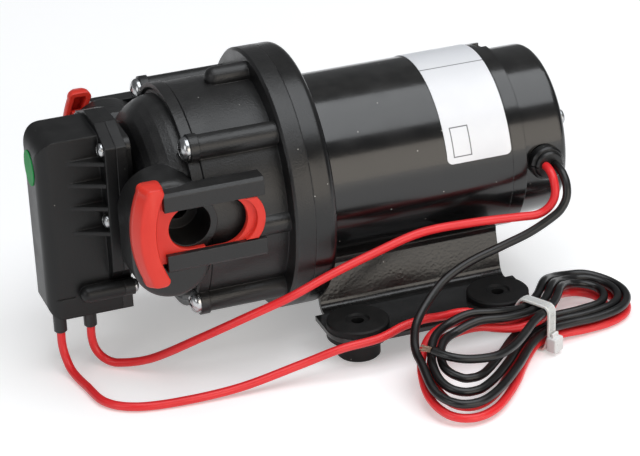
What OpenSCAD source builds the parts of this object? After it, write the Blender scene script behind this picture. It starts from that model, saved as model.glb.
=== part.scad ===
// Caravan water pump: a brushed motor on a rubber-footed bracket, a three-chamber
// diaphragm head with two slide-clip ports, and a pressure switch on the nose.
// Millimetres. Origin on the floor, midway between the four foot bolts.
// +X runs along the motor axis to the motor's rear, +Z is up.

/* [Stance] */
// Height of the motor axis above the floor
axis_h = 63; // [60:0.5:75]
// Spacing of the foot bolts along the motor
bolt_x = 59.3; // [52:0.1:66]
// Spacing of the foot bolts across the motor
bolt_y = 84; // [82:0.5:96]
// Radius of the bolt hole through a foot
bolt_r = 2.5; // [1.5:0.1:3]

/* [Feet] */
// Radius of a foot's two discs
foot_r = 12.4; // [11:0.1:13]
// Radius of a foot's stem
foot_stem_r = 8.6; // [7:0.1:10]
// Radius of a foot's neck in the bracket
foot_neck_r = 6.1; // [5:0.1:6.8]
// Height of a foot's stem below its lower disc
foot_stem_h = 7.8; // [5:0.1:9]
// Thickness of the lower disc
foot_lower_t = 2.5; // [1.5:0.1:3.5]
// Thickness of the upper disc
foot_upper_t = 2.7; // [1.5:0.1:3.5]
// Radius of the recess round the bolt hole
foot_recess_r = 4.8; // [3.6:0.1:6]

/* [Bracket] */
// Thickness of the bracket's sheet
sheet_t = 2; // [1:0.1:2.5]
// Width of the flange round each foot's centre
flange_margin = 12.6; // [12.4:0.1:14]
// Place of the walls' rear end
wall_rear = 39; // [30:0.5:41]
// Lean of the walls toward the motor, degrees
wall_lean = 15; // [8:0.5:18]
// Inside radius of the bend at the walls' foot
bend_r = 4; // [2:0.1:5]
// Half width of the saddle under the motor
saddle_half = 19.5; // [16:0.1:22]

/* [Motor] */
// Radius of the motor's can
can_r = 37.1; // [36:0.1:38]
// Wall of the can
can_wall = 2.2; // [1.2:0.1:2.4]
// Length of the can
can_len = 78.1; // [76:0.1:84]
// Place of the can's front end
can_front = -38.6; // [-42:0.1:-36]
// Radius of the front bell and of the head's rim
ring_r = 51.9; // [51:0.1:54]
// Thickness of the front bell
bell_t = 9.4; // [9:0.1:12]
// Radius of the front bell's rear edge
bell_edge_r = 3.5; // [1:0.1:5]
// Length of the rear bell's band
band_len = 5.8; // [4:0.1:8]
// Step in from the can to the rear bell's cup
cup_step = 3.1; // [2.4:0.1:4]
// Length of the rear bell's cup
cup_len = 19; // [18:0.1:24]
// Wall of the rear bell
cup_wall = 2; // [1.2:0.1:2.2]
// Radius of the cup's rear edge
cup_edge_r = 3; // [1:0.1:4]
// Distance of the through bolts from the can's inner wall
tie_bolt_in = 7.1; // [6.7:0.1:7.3]
// Angle of the through bolts above the horizontal
tie_bolt_angle = 28; // [15:1:40]
// Radius of the through bolts
tie_bolt_r = 2; // [1.5:0.1:2]
// Place of the label from the can's front end
label_from = 50.7; // [40:0.1:52]
// Length of the label along the can
label_len = 26.8; // [15:0.1:27]
// Angle of the label's lower edge above the horizontal
label_low = 11; // [5:1:30]
// Angle of the label's upper edge
label_high = 125; // [90:1:140]

/* [Rotor] */
// Radius of the shaft
shaft_r = 4; // [3.5:0.1:4.5]
// Outer radius of the shaft's bearings
bearing_r = 11; // [10:0.1:11.5]
// Width of the shaft's bearings
bearing_w = 7; // [6:0.1:7.2]
// Thickness of the magnets
magnet_t = 8.4; // [8.2:0.1:10]
// Length of the armature
armature_len = 44; // [36:1:46]
// Slots in the armature
armature_slots = 12; // [8:1:14]
// Radius of the commutator
commutator_r = 11; // [10:0.1:12]

/* [Pump head] */
// Thickness of the head's rim
rim_t = 8; // [6:0.1:10]
// Radius of the drum
drum_r = 43.5; // [42.5:0.1:44.5]
// Length of the drum
drum_len = 31; // [30.5:0.1:33]
// Radius of the diaphragm and the valve plate
membrane_r = 38; // [37:0.1:39]
// Distance of the head screws from the axis
screw_at = 45; // [44.5:0.1:46]
// Radius of the screw columns
column_r = 4.75; // [4:0.1:5]
// Radius of a head screw's head
screw_head_r = 4.75; // [4:0.1:5]
// Radius of a head screw's shank
screw_r = 2.2; // [1.8:0.1:2.4]
// Radius of the short bosses between the columns
boss_r = 4.3; // [3.5:0.1:5]
// Length of the short bosses
boss_len = 17; // [12:0.1:20]
// Angle of the wobble journal to the shaft, degrees
wobble_tilt = 4; // [2:0.5:4]
// Distance of the three pistons from the axis
piston_at = 20; // [19:0.1:20.5]
// Radius of a piston
piston_r = 9.3; // [8:0.1:9.6]
// Radius of the wobble journal
journal_r = 7; // [6.8:0.1:7.6]

/* [Front cover] */
// Thickness of the cover's flange
cover_t = 3.5; // [2.5:0.1:5]
// Radius of the cover's flange
cover_r = 44; // [43.5:0.1:45]
// Radius of the dome at the flange
dome_r = 40; // [39.5:0.1:41]
// Radius of the flat nose
nose_r = 22; // [21:0.1:24]
// Depth of the dome
dome_depth = 17.5; // [17:0.1:20]
// Height of the ports above the motor axis
port_rise = 8; // [6:0.1:9]
// Distance of the port axis ahead of the drum
port_ahead = 9; // [8.5:0.1:10]
// Radius of the port bores
port_r = 8.4; // [7.5:0.1:8.6]
// Depth of the port bores
port_depth = 15.5; // [13:0.5:15.5]
// Half width of the oblong port barrels
barrel_half = 15.5; // [14.5:0.1:16]
// Half height of the port barrels
barrel_rise = 23.8; // [22:0.1:24.5]
// Radius of the round tube at the mouth of a port
mouth_r = 11.2; // [10.5:0.1:11.6]
// Distance of the port faces from the middle
port_face = 46.5; // [46:0.1:49]
// Distance from the middle where the barrels reach their full section
barrel_in = 28; // [26:0.1:32]

/* [Clips] */
// Thickness of a clip's plate
clip_t = 2.5; // [2:0.1:3]
// Half height of a clip's plate
clip_half = 13; // [12:0.1:13.2]
// Half height of a clip's wide opening
clip_open = 9.9; // [9:0.1:10.5]
// Height of a clip's handle
handle_h = 41.6; // [34:0.1:46]
// Radius of the handle's bow
handle_bow_r = 43; // [36:0.5:60]
// Half width of the handle, seen from the side
handle_half = 4.2; // [3.6:0.1:4.8]
// Depth of the handle across the clip
handle_w = 8; // [6.5:0.1:9]
// Length of the rails
rail_len = 39; // [34:0.1:41]
// Overhang of the rails behind the barrels
rail_rear = 19.5; // [16:0.1:21]

/* [Pressure switch] */
// Distance from the nose to the switch's seam
base_t = 7; // [6.5:0.1:9]
// Thickness of the base's flange
base_flange_t = 4; // [3:0.1:5]
// Thickness of the cap's flange
cap_flange_t = 4.5; // [3:0.1:6]
// Depth of the cap ahead of the seam
cap_depth = 29; // [27:0.1:34]
// Half width of the cap
cap_half = 12; // [11.6:0.1:13]
// Height of the cap's lower end above the floor
cap_low = 24; // [22:0.1:26]
// Height of the cap's top above the floor
cap_high = 98; // [96:0.1:100]
// Wall of the cap
cap_wall = 2; // [1.2:0.1:2.2]
// Half width of the flanges at the top
flange_half = 21; // [20:0.1:22]
// Thickness of the gussets
gusset_t = 1.6; // [1:0.1:2.4]
// Radius of the two lead sleeves
sleeve_r = 2.6; // [2.3:0.1:3]
// Length of the sleeves below the cap
sleeve_drop = 6.5; // [4:0.1:7]
// Travel of the switch's plunger
plunger_travel = 1; // [0.5:0.1:1.2]

/* [Leads] */
// Radius of a lead
lead_r = 1.7; // [1.4:0.05:1.75]
// Step from loop to loop in the hank's lobes
loop_step = 4.4; // [4.3:0.05:4.8]
// Step from loop to loop at the hank's waist
waist_step = 4.3; // [4.3:0.05:4.5]
// Height of the black loops above the red ones
layer_rise = 4.6; // [4.6:0.05:5.2]

/* [Hidden] */
$fn = 64;

// Clearances
slip = 0.02;
film_gap = 0.06;
lead_gap = 0.15;
running = 0.05;
free_gap = 0.3;
past = 1;

// Stations along the motor axis
seam_x = can_front - bell_t;
rim_front = seam_x - rim_t;
drum_front = rim_front - drum_len;
cover_front = drum_front - cover_t;
nose_x = cover_front - dome_depth;
switch_seam = nose_x - base_t;
cap_front = switch_seam - cap_depth;
flange_front = switch_seam - cap_flange_t;
can_rear = can_front + can_len;
band_rear = can_rear + band_len;
cup_rear = band_rear + cup_len;
port_x = drum_front - port_ahead;
port_z = axis_h + port_rise;

// Motor, inside
can_in = can_r - can_wall;
cup_r = can_r - cup_step;
cup_in = cup_r - cup_wall;
tie_bolt_at = can_in - tie_bolt_in;
magnet_out = can_in - slip;
magnet_in = magnet_out - magnet_t;
air_gap = 1.5;
armature_r = magnet_in - air_gap;
pilot_len = 4;
pilot_r = can_in - 0.1;
pilot_in = pilot_r - 3;
end_wall = 2.5;
bell_floor = 2;
front_bearing_x = seam_x + bell_floor;
rear_bearing_x = cup_rear - end_wall - bearing_w;
shaft_hole_r = shaft_r + 2.5;
shaft_rear = cup_rear - end_wall - free_gap;
armature_x = -20;
winding_len = 9;
winding_in = 9;
winding_out = armature_r - 3;
magnet_arc = 130;
magnet_over = 3;
commutator_len = 12;
commutator_x = can_rear - 2.5;
card_t = 2;
card_x = can_rear + 1.5;
card_in = commutator_r + 3;
brush_w = 5.4;
brush_h = 7;
brush_len = 8.5;
brush_spring_len = 4.3;
holder_wall = 1.8;

// Head, inside
membrane_t = 2;
valve_t = 7.5;
membrane_x = drum_front + valve_t;
cavity_x = membrane_x + membrane_t;
cavity_r = membrane_r - 3;
nutation_x = membrane_x + membrane_t / 2;
chamber_r = 12.5;
chamber_depth = 4.5;
pistons_n = 3;
piston_half = 2;
stem_r = 4.2;
arm_from = 4.5;
arm_t = 3;
arm_r = piston_at + 7;
cam_bearing_r = 13;
cam_bearing_w = 8;
hub_r = 16.5;
cam_from = arm_from + arm_t + 0.5;

// Front cover, inside
inlet_in = 15;
inlet_out = 30;
inlet_depth = 7;
outlet_chamber_r = 11;
outlet_depth = 15;
port_way_r = 4.4;
bore_spare = 0.5;
port_way_ahead = 3;
seal_at = 33.8;
seal_r = 1.1;
lug_r = 5.5;
driver_r = screw_head_r + 0.65;
screw_head_h = 3.5;
screw_len = 28;

// Clips and rails
clip_y = port_face + free_gap;
clip_out = clip_y + clip_t;
rail_t = 2.7;
rail_lip = 2.4;
rail_lip_y = clip_out + free_gap;
rail_out = rail_lip_y + rail_lip;
rail_half = clip_half + free_gap;
lip_half = rail_half - 4.4;
rail_x1 = drum_front + rail_rear;
rail_x0 = rail_x1 - rail_len;
clip_rear = rail_x1;
handle_x = port_x - 18.9;
barrel_x = drum_front - barrel_half;
barrel_z = axis_h + 2.2;
handle_bevel = 4.2;
ridge_t = 2.2;
ridge_len = 3.2;

// Switch
cap_in = cap_half - cap_wall;
cap_edge_r = 5.5;
cap_brow_r = 8;
flange_top = cap_high - 2.5;
flange_peak = cap_high + 3;
flange_peak_half = 7;
flange_low = 43.5;
flange_low_half = 18.5;
gusset_z = [59.6, 70, 79.5, 88.5];
gusset_tip = 13;
ear_y = 14.5;
ear_z = 34.3;
ear_r = 3.4;
ear_len = 13;
cap_screw_y = 16.5;
cap_screw_z = [64.5, flange_top - 1.7];
cap_screw_r = 1.4;
cap_screw_head_r = 2.7;
cap_screw_head_h = 2;
neck_half = 16;
neck_low = 40;
neck_high = 96;
sense_z = axis_h;
sense_r = 2;
sense_well_r = 13;
sense_floor = 1.6;
sense_sheet_t = 1.5;
plunger_r = 9;
plunger_t = 2;
plunger_stem_r = 3;
plunger_stem_len = 10;
guide_x = flange_front + 0.5;
guide_t = 2;
contact_len = 8;
contact_h = 20;
dot_r = 7;
dot_t = 0.4;
dot_at = 84.5;
sleeve_x = [cap_front + 4.2, cap_front + 16.2];
sleeve_y = -8;
sleeve_up = cap_wall + 0.8;
sleeve_end = cap_low - sleeve_drop;

// Strain relief on the rear bell
relief_x = band_rear + 8.7;
relief_r = 7;
relief_nose_r = 5.8;
relief_neck_r = 4.9;
relief_len = 6;
relief_nose = 2.2;
relief_end = cup_r + slip + relief_len;
red_exit = 2.2;
black_exit = 2;

// Shared placing modules
module on_axis() {
    translate([0, 0, axis_h]) rotate([0, 90, 0]) children();
}

module on_wobble() {
    translate([nutation_x, 0, axis_h]) rotate([0, -wobble_tilt, 0]) rotate([0, 90, 0]) children();
}

module around(count, radius, first = 0) {
    for (i = [0:count - 1]) rotate([0, 0, first + i * 360 / count]) translate([radius, 0, 0]) children();
}

module both_sides() {
    children();
    mirror([0, 1, 0]) children();
}

module along_x(x0, x1) {
    translate([x0, 0, 0]) rotate([90, 0, 90]) linear_extrude(x1 - x0) children();
}

module along_y(y0, y1) {
    translate([0, y1, 0]) rotate([90, 0, 0]) linear_extrude(y1 - y0) children();
}

module ring_of(r_in, r_out, from, to) {
    translate([0, 0, from]) difference() {
        cylinder(r = r_out, h = to - from);
        translate([0, 0, -past]) cylinder(r = r_in, h = to - from + 2 * past);
    }
}

module disc_of(r, from, to) {
    translate([0, 0, from]) cylinder(r = r, h = to - from);
}

// Rectangle from low to high with one radius for each corner: low left, low right, high right, high left
module rounded_box(low, high, radii) {
    size = high - low;
    corners = [[0, 0], [1, 0], [1, 1], [0, 1]];
    difference() {
        translate(low) square(size);
        for (i = [0:3]) if (radii[i] > 0)
            translate([low[0] + corners[i][0] * size[0], low[1] + corners[i][1] * size[1]])
                mirror([corners[i][0], 0]) mirror([0, corners[i][1]])
                    difference() {
                        translate([-past, -past]) square(radii[i] + past);
                        translate([radii[i], radii[i]]) circle(r = radii[i]);
                    }
    }
}

// Points on an arc, for the outline of a revolved shape
function arc(centre, radii, from, to, steps = 6) = [
    for (i = [0:steps]) let (a = from + (to - from) * i / steps)
        [centre[0] + radii[0] * cos(a), centre[1] + radii[1] * sin(a)]
];

// Pan-head screw along +Z with its seat at zero and its head below it
module pan_screw(head_r, head_h, shank_r, shank_len) {
    rotate_extrude() polygon(concat(
        [[0, shank_len], [0, -head_h]],
        arc([head_r * 0.6, -head_h * 0.55], [head_r * 0.4, head_h * 0.45], 270, 360),
        [[head_r, 0], [shank_r, 0], [shank_r, shank_len]]));
}

// Bracket and feet
module bracket_section() {
    flange_low_z = foot_stem_h + foot_lower_t;
    bend_z = flange_low_z + sheet_t + bend_r;
    wall_foot = saddle_half + 7.5;
    lean = [-sin(wall_lean), cos(wall_lean)];
    across = [cos(wall_lean), sin(wall_lean)];
    wall_start = [wall_foot, bend_z] + bend_r * [-cos(wall_lean), -sin(wall_lean)];
    wall_rise = axis_h - sqrt(pow(can_r, 2) - pow(saddle_half, 2)) - wall_start[1];
    wall_run = wall_rise / cos(wall_lean);
    difference() {
        union() {
            for (side = [0, 1]) mirror([side, 0]) {
                translate([wall_foot, flange_low_z])
                    square([bolt_y / 2 + flange_margin + past - wall_foot, sheet_t]);
                translate([wall_foot, bend_z]) intersection() {
                    difference() {
                        circle(r = bend_r + sheet_t);
                        circle(r = bend_r);
                    }
                    polygon([[0, 0], [0, -2 * bend_z], [-2 * bend_z, -2 * bend_z],
                        3 * bend_z * [-cos(wall_lean), -sin(wall_lean)]]);
                }
                polygon([wall_start, wall_start + wall_run * lean,
                    wall_start + wall_run * lean - sheet_t * across, wall_start - sheet_t * across]);
            }
            translate([0, axis_h]) intersection() {
                circle(r = can_r + slip + sheet_t);
                translate([-saddle_half, -2 * can_r]) square([2 * saddle_half, 2 * can_r]);
            }
        }
        translate([0, axis_h]) circle(r = can_r + slip);
    }
}

module bracket() {
    foot_x = bolt_x / 2;
    foot_y = bolt_y / 2;
    end_x = foot_x + flange_margin;
    side_y = foot_y + flange_margin;
    tab_y = saddle_half + 7.5 + past;
    color("#202022") difference() {
        intersection() {
            along_x(-end_x - past, end_x + past) bracket_section();
            linear_extrude(axis_h) rounded_box([-end_x, -side_y], [end_x, side_y],
                flange_margin * [1, 1, 1, 1]);
        }
        for (x = [can_front + free_gap - end_x, wall_rear])
            translate([x, -tab_y, 0]) cube([end_x, 2 * tab_y, axis_h]);
        for (x = [-foot_x, foot_x], y = [-foot_y, foot_y])
            translate([x, y, 0]) cylinder(r = foot_neck_r + 0.1, h = axis_h / 2);
    }
}

module foot(side_x, side_y) {
    lower = foot_stem_h + foot_lower_t;
    upper = lower + sheet_t;
    top = upper + foot_upper_t;
    edge = 0.6;
    recess = 0.8;
    color("#262628") translate([side_x * bolt_x / 2, side_y * bolt_y / 2, 0]) rotate_extrude() polygon([
        [bolt_r, 0], [foot_stem_r - edge, 0], [foot_stem_r, edge], [foot_stem_r, foot_stem_h],
        [foot_r - edge, foot_stem_h], [foot_r, foot_stem_h + edge], [foot_r, lower],
        [foot_neck_r, lower], [foot_neck_r, upper], [foot_r, upper], [foot_r, top - edge],
        [foot_r - edge, top], [foot_recess_r, top], [foot_recess_r - edge, top - recess],
        [bolt_r, top - recess]]);
}

module front_left_foot() { foot(-1, 1); }
module front_right_foot() { foot(-1, -1); }
module rear_left_foot() { foot(1, 1); }
module rear_right_foot() { foot(1, -1); }

// Motor, fixed pieces
module motor_can() {
    color("#19191b") on_axis() ring_of(can_in, can_r, can_front, can_rear);
}

module motor_front_bell() {
    color("#101012") on_axis() difference() {
        rotate_extrude() polygon(concat(
            [[shaft_hole_r, seam_x], [ring_r, seam_x]],
            arc([ring_r - bell_edge_r, can_front - bell_edge_r], [bell_edge_r, bell_edge_r], 0, 90),
            [[pilot_r, can_front], [pilot_r, can_front + pilot_len], [pilot_in, can_front + pilot_len],
                [pilot_in, can_front], [shaft_hole_r, can_front]]));
        disc_of(bearing_r + slip, front_bearing_x, can_front + past);
        around(2, tie_bolt_at, 90 - tie_bolt_angle)
            disc_of(tie_bolt_r + slip, can_front - bell_t / 2, can_front + past);
    }
}

module rear_bell() {
    slot_depth = 1.4;
    slot_len = 3.6;
    slot_w = 8;
    color("#17171a") on_axis() difference() {
        union() {
            rotate_extrude() polygon(concat(
                [[cup_in, can_rear - pilot_len], [pilot_r, can_rear - pilot_len], [pilot_r, can_rear],
                    [can_r, can_rear], [can_r, band_rear], [cup_r, band_rear]],
                arc([cup_r - cup_edge_r, cup_rear - cup_edge_r], [cup_edge_r, cup_edge_r], 0, 90),
                [[0, cup_rear], [0, cup_rear - end_wall], [cup_in, cup_rear - end_wall]]));
            ring_of(bearing_r + slip, bearing_r + 2.5, rear_bearing_x, cup_rear - end_wall / 2);
        }
        around(2, tie_bolt_at, 90 - tie_bolt_angle)
            disc_of(tie_bolt_r + slip, cup_rear - 2 * end_wall, cup_rear + past);
        around(2, can_r, 170)
            translate([-slot_depth, -slot_w / 2, band_rear - slot_len])
                cube([2 * slot_depth, slot_w, slot_len]);
        rotate([90, 0, 0]) translate([0, relief_x, 0])
            cylinder(r = relief_neck_r + 0.1, h = cup_r + past);
    }
}

module magnets() {
    from = armature_x - magnet_over;
    long = armature_len + 2 * magnet_over;
    color("#3a3a3e") on_axis() for (side = [0, 180])
        rotate([0, 0, side - tie_bolt_angle - magnet_arc / 2]) translate([0, 0, from])
            rotate_extrude(angle = magnet_arc) translate([magnet_in, 0])
                square([magnet_out - magnet_in, long]);
}

module front_bearing() {
    color("#b8babd") on_axis()
        ring_of(shaft_r + running, bearing_r, front_bearing_x, front_bearing_x + bearing_w);
}

module rear_bearing() {
    color("#b8babd") on_axis()
        ring_of(shaft_r + running, bearing_r, rear_bearing_x, rear_bearing_x + bearing_w);
}

// Places the two brushes round the commutator, square to the through bolts
module at_brushes() {
    for (side = [0, 180]) rotate([0, 0, side - tie_bolt_angle]) children();
}

module brush_card() {
    reach = commutator_r + brush_len + brush_spring_len + holder_wall;
    channel_x = card_x + card_t;
    color("#5a4632") on_axis() difference() {
        union() {
            ring_of(card_in, cup_in - slip, card_x, card_x + card_t);
            at_brushes() translate([card_in, -brush_h / 2 - holder_wall, card_x])
                cube([reach - card_in, brush_h + 2 * holder_wall, card_t + brush_w + holder_wall]);
        }
        at_brushes() translate([0, -brush_h / 2 - 0.1, channel_x])
            cube([reach - holder_wall, brush_h + 0.2, brush_w + 0.2]);
        disc_of(card_in, card_x - past, cup_rear);
        around(2, tie_bolt_at, 90 - tie_bolt_angle)
            disc_of(tie_bolt_r + free_gap, card_x - past, card_x + card_t + past);
    }
}

module brushes() {
    color("#2b2b2e") on_axis() difference() {
        at_brushes() translate([0, -brush_h / 2, card_x + card_t])
            cube([commutator_r + brush_len, brush_h, brush_w]);
        disc_of(commutator_r + running, card_x, cup_rear);
    }
}

module brush_springs() {
    spring_r = 2.2;
    from = commutator_r + brush_len;
    color("#c9cacc") on_axis() at_brushes()
        translate([from, 0, card_x + card_t + brush_w / 2]) rotate([0, 90, 0])
            cylinder(r = spring_r, h = brush_spring_len);
}

module through_bolts() {
    head_r = 3.2;
    head_h = 2.4;
    long = cup_rear - can_front + bell_t / 3;
    color("#2c2c2f") on_axis() around(2, tie_bolt_at, 90 - tie_bolt_angle)
        translate([0, 0, cup_rear]) mirror([0, 0, 1]) pan_screw(head_r, head_h, tie_bolt_r, long);
}

module strain_relief() {
    lip_t = 1.6;
    lip_r = 6.3;
    inner = sqrt(pow(cup_in, 2) - pow(lip_r, 2)) - slip;
    seat = cup_r + slip;
    edge = 0.7;
    split = 0.5;
    color("#1b1b1d") difference() {
        translate([relief_x, 0, axis_h]) rotate([90, 0, 0]) rotate_extrude() polygon([
            [0, inner - lip_t], [lip_r, inner - lip_t], [lip_r, inner], [relief_neck_r, inner],
            [relief_neck_r, seat], [relief_r, seat], [relief_r, relief_end - relief_nose - edge],
            [relief_r - edge, relief_end - relief_nose], [relief_nose_r, relief_end - relief_nose],
            [relief_nose_r, relief_end - edge], [relief_nose_r - edge, relief_end], [0, relief_end]]);
        for (side = [0, 1]) translate([relief_x, 0, axis_h]) mirror([side, 0, 0])
            translate([relief_nose_r - edge, -relief_end - past, -split / 2])
                cube([relief_r, relief_len, split]);
    }
}

module label_plate() {
    sheet = 0.25;
    color("#d9d9d6") on_axis() rotate([0, 0, 270 - label_high]) translate([0, 0, can_front + label_from])
        rotate_extrude(angle = label_high - label_low)
            translate([can_r + film_gap, 0]) square([sheet, label_len]);
}

// Rotor
module motor_shaft() {
    from = nutation_x + cam_from + 1;
    edge = 0.6;
    color("#c3c5c8") on_axis() rotate_extrude() polygon([
        [0, from], [shaft_r - edge, from], [shaft_r, from + edge], [shaft_r, shaft_rear - edge],
        [shaft_r - edge, shaft_rear], [0, shaft_rear]]);
}

module armature_core() {
    slot_w = 4;
    slot_depth = 9;
    mouth = 2.2;
    lip = 1.6;
    color("#8b8d90") on_axis() difference() {
        ring_of(shaft_r + slip, armature_r, armature_x, armature_x + armature_len);
        around(armature_slots, armature_r, 0) {
            translate([-slot_depth, -slot_w / 2, armature_x - past])
                cube([slot_depth - lip, slot_w, armature_len + 2 * past]);
            translate([-slot_depth / 2, -mouth / 2, armature_x - past])
                cube([slot_depth, mouth, armature_len + 2 * past]);
        }
    }
}

module winding_end() {
    crown = 4;
    rotate_extrude() polygon(concat(
        [[winding_in, 0], [winding_out, 0], [winding_out, winding_len - crown]],
        arc([winding_out - crown, winding_len - crown], [crown, crown], 0, 90),
        arc([winding_in + crown, winding_len - crown], [crown, crown], 90, 180)));
}

module armature_windings() {
    color("#a85a2a") on_axis() {
        translate([0, 0, armature_x]) mirror([0, 0, 1]) winding_end();
        translate([0, 0, armature_x + armature_len]) winding_end();
    }
}

module commutator() {
    cut_w = 0.6;
    cut_depth = 0.8;
    color("#b87333") on_axis() difference() {
        ring_of(shaft_r + slip, commutator_r, commutator_x, commutator_x + commutator_len);
        around(armature_slots, commutator_r, 0) translate([-cut_depth, -cut_w / 2, commutator_x - past])
            cube([2 * cut_depth, cut_w, commutator_len + 2 * past]);
    }
}

module wobble_cam() {
    collar_r = journal_r + 1.5;
    collar_from = nutation_x + cam_from + cam_bearing_w + 1;
    collar_len = 4;
    color("#9a9ca0") difference() {
        union() {
            on_wobble() disc_of(journal_r, cam_from, cam_from + cam_bearing_w + 1.5);
            on_axis() disc_of(collar_r, collar_from, collar_from + collar_len);
        }
        on_axis() disc_of(shaft_r + slip, nutation_x, 0);
    }
}

// Wobble plate and its pistons, round the tilted journal
module cam_bearing() {
    color("#b8babd") on_wobble()
        ring_of(journal_r + running, cam_bearing_r, cam_from, cam_from + cam_bearing_w);
}

module wobble_plate() {
    hub_end = cam_from + cam_bearing_w + 0.5;
    pilot = 1.3;
    web = 5;
    color("#303034") on_wobble() difference() {
        union() {
            disc_of(arm_r, arm_from, arm_from + arm_t);
            disc_of(hub_r, arm_from + arm_t, hub_end);
            around(pistons_n, piston_at, 180) disc_of(stem_r, piston_half, arm_from + arm_t);
            around(pistons_n, 0, 180) translate([0, -gusset_t / 2, arm_from + arm_t])
                cube([piston_at + web, gusset_t, web]);
        }
        disc_of(cam_bearing_r + slip, cam_from, hub_end + past);
        around(pistons_n, piston_at, 180) disc_of(pilot, 0, arm_from + arm_t + past);
    }
}

module pistons() {
    edge = 1;
    sink_r = 3.4;
    sink = 1.9;
    color("#18181a") on_wobble() around(pistons_n, piston_at, 180) difference() {
        rotate_extrude() polygon([
            [0, piston_half], [piston_r, piston_half], [piston_r, edge - piston_half],
            [piston_r - edge, -piston_half], [0, -piston_half]]);
        disc_of(sink_r, -piston_half - past, sink - piston_half);
        disc_of(1.3, -piston_half, piston_half + past);
    }
}

module piston_screws() {
    head_r = 3.2;
    head_h = 1.6;
    shank_r = 1.25;
    shank_len = 7;
    sink = 1.9;
    color("#a9abae") on_wobble() around(pistons_n, piston_at, 180)
        translate([0, 0, sink - piston_half]) pan_screw(head_r, head_h, shank_r, shank_len);
}

// Pump head
module short_boss() {
    disc_of(boss_r, rim_front - boss_len + boss_r, rim_front + past);
    translate([0, 0, rim_front - boss_len + boss_r]) sphere(r = boss_r);
}

module pump_body() {
    rim_edge = 1;
    lead_in = 0.6;
    color("#1c1c1e") on_axis() difference() {
        union() {
            rotate_extrude() polygon([
                [0, drum_front + lead_in], [drum_r - lead_in, drum_front], [drum_r, drum_front + lead_in],
                [drum_r, rim_front], [ring_r - rim_edge, rim_front], [ring_r, rim_front + rim_edge],
                [ring_r, seam_x], [0, seam_x]]);
            around(4, screw_at, 45) disc_of(column_r, drum_front, rim_front + past);
            around(2, screw_at, 0) short_boss();
            around(2, clip_y - free_gap - boss_r, 90) short_boss();
        }
        disc_of(membrane_r + slip, drum_front - past, cavity_x);
        disc_of(cavity_r, drum_front - past, seam_x + past);
        around(4, screw_at, 45) disc_of(screw_r + slip, drum_front - past, drum_front + screw_len);
    }
}

module diaphragm() {
    clear = 0.5;
    stud_r = 5;
    color("#151516") on_axis() difference() {
        disc_of(membrane_r, membrane_x, cavity_x);
        around(pistons_n, piston_at, 180) disc_of(piston_r + clear, membrane_x - past, cavity_x + past);
        disc_of(stud_r, membrane_x - past, cavity_x + past);
    }
}

module valve_plate() {
    way_r = 1.5;
    stem_hole = 1.5;
    ways_at = 3.6;
    outlet_at = 9.2;
    groove = seal_r + 0.1;
    floor_x = membrane_x - chamber_depth;
    color("#2a2a2d") on_axis() difference() {
        disc_of(membrane_r, drum_front, membrane_x);
        around(pistons_n, piston_at, 180) {
            disc_of(chamber_r, floor_x, membrane_x + past);
            translate([ways_at, 0, 0]) {
                disc_of(stem_hole, drum_front - past, floor_x + past);
                around(4, ways_at, 45) disc_of(way_r, drum_front - past, floor_x + past);
            }
        }
        around(pistons_n, outlet_at, 180) disc_of(way_r / 2, drum_front - past, floor_x + past);
        disc_of(stem_hole, drum_front - past, membrane_x + past);
        ring_of(seal_at - groove, seal_at + groove, drum_front - past, drum_front + 2 * seal_r);
    }
}

// Mushroom valve along +Z with its seat at zero and its stem above
module mushroom(head_r, head_t, stem, stem_len) {
    rotate_extrude() polygon([
        [0, -head_t], [head_r / 3, -head_t], [head_r, -head_t / 3], [head_r, 0], [stem, 0],
        [stem, stem_len], [0, stem_len]]);
}

module inlet_valves() {
    head_r = 6;
    ways_at = 3.6;
    floor_x = membrane_x - chamber_depth;
    color("#6b6b6e") on_axis() around(pistons_n, piston_at, 180) translate([ways_at, 0, floor_x])
        mirror([0, 0, 1]) mushroom(head_r, 0.7, 1.5 - slip, valve_t - chamber_depth);
}

module outlet_valve() {
    color("#6b6b6e") on_axis() translate([0, 0, drum_front])
        mushroom(outlet_chamber_r - free_gap, 1.2, 1.5 - slip, valve_t - 1);
}

module cover_seal() {
    color("#141415") on_axis() translate([0, 0, drum_front + seal_r])
        rotate_extrude() translate([seal_at, 0]) circle(r = seal_r, $fn = 24);
}

// Half section of a barrel, from its foot at the neck of the switch to its rounded face
function barrel_profile() = let (edge = 3.5, foot_half = barrel_half - 7) concat(
    [[0, neck_half + 0.5], [foot_half, neck_half + 0.5], [barrel_half, barrel_in]],
    arc([barrel_half - edge, port_face - edge], [edge, edge], 0, 90),
    [[0, port_face]]);

// One oblong port barrel, square to the side, with its rails above and below
module port_barrel() {
    rail_edge = 1.2;
    root = 2.5;
    straight = barrel_rise - barrel_half;
    translate([barrel_x, 0, barrel_z]) {
        for (z = [-straight, straight]) translate([0, 0, z]) rotate([-90, 0, 0])
            rotate_extrude($fn = 96) polygon(barrel_profile());
        for (side = [0, 1]) mirror([side, 0, 0]) translate([0, 0, -straight])
            linear_extrude(2 * straight) polygon(barrel_profile());
    }
    translate([port_x, 0, port_z]) rotate([-90, 0, 0]) disc_of(mouth_r, drum_r + free_gap, port_face);
    for (side = [0, 1]) translate([0, 0, port_z]) mirror([0, 0, side]) along_x(rail_x0, rail_x1) polygon([
        [port_face - root, rail_half], [rail_lip_y, rail_half], [rail_lip_y, lip_half],
        [rail_out, lip_half], [rail_out, rail_half + rail_t - rail_edge],
        [rail_out - rail_edge, rail_half + rail_t], [port_face - root, rail_half + rail_t]]);
}

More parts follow.
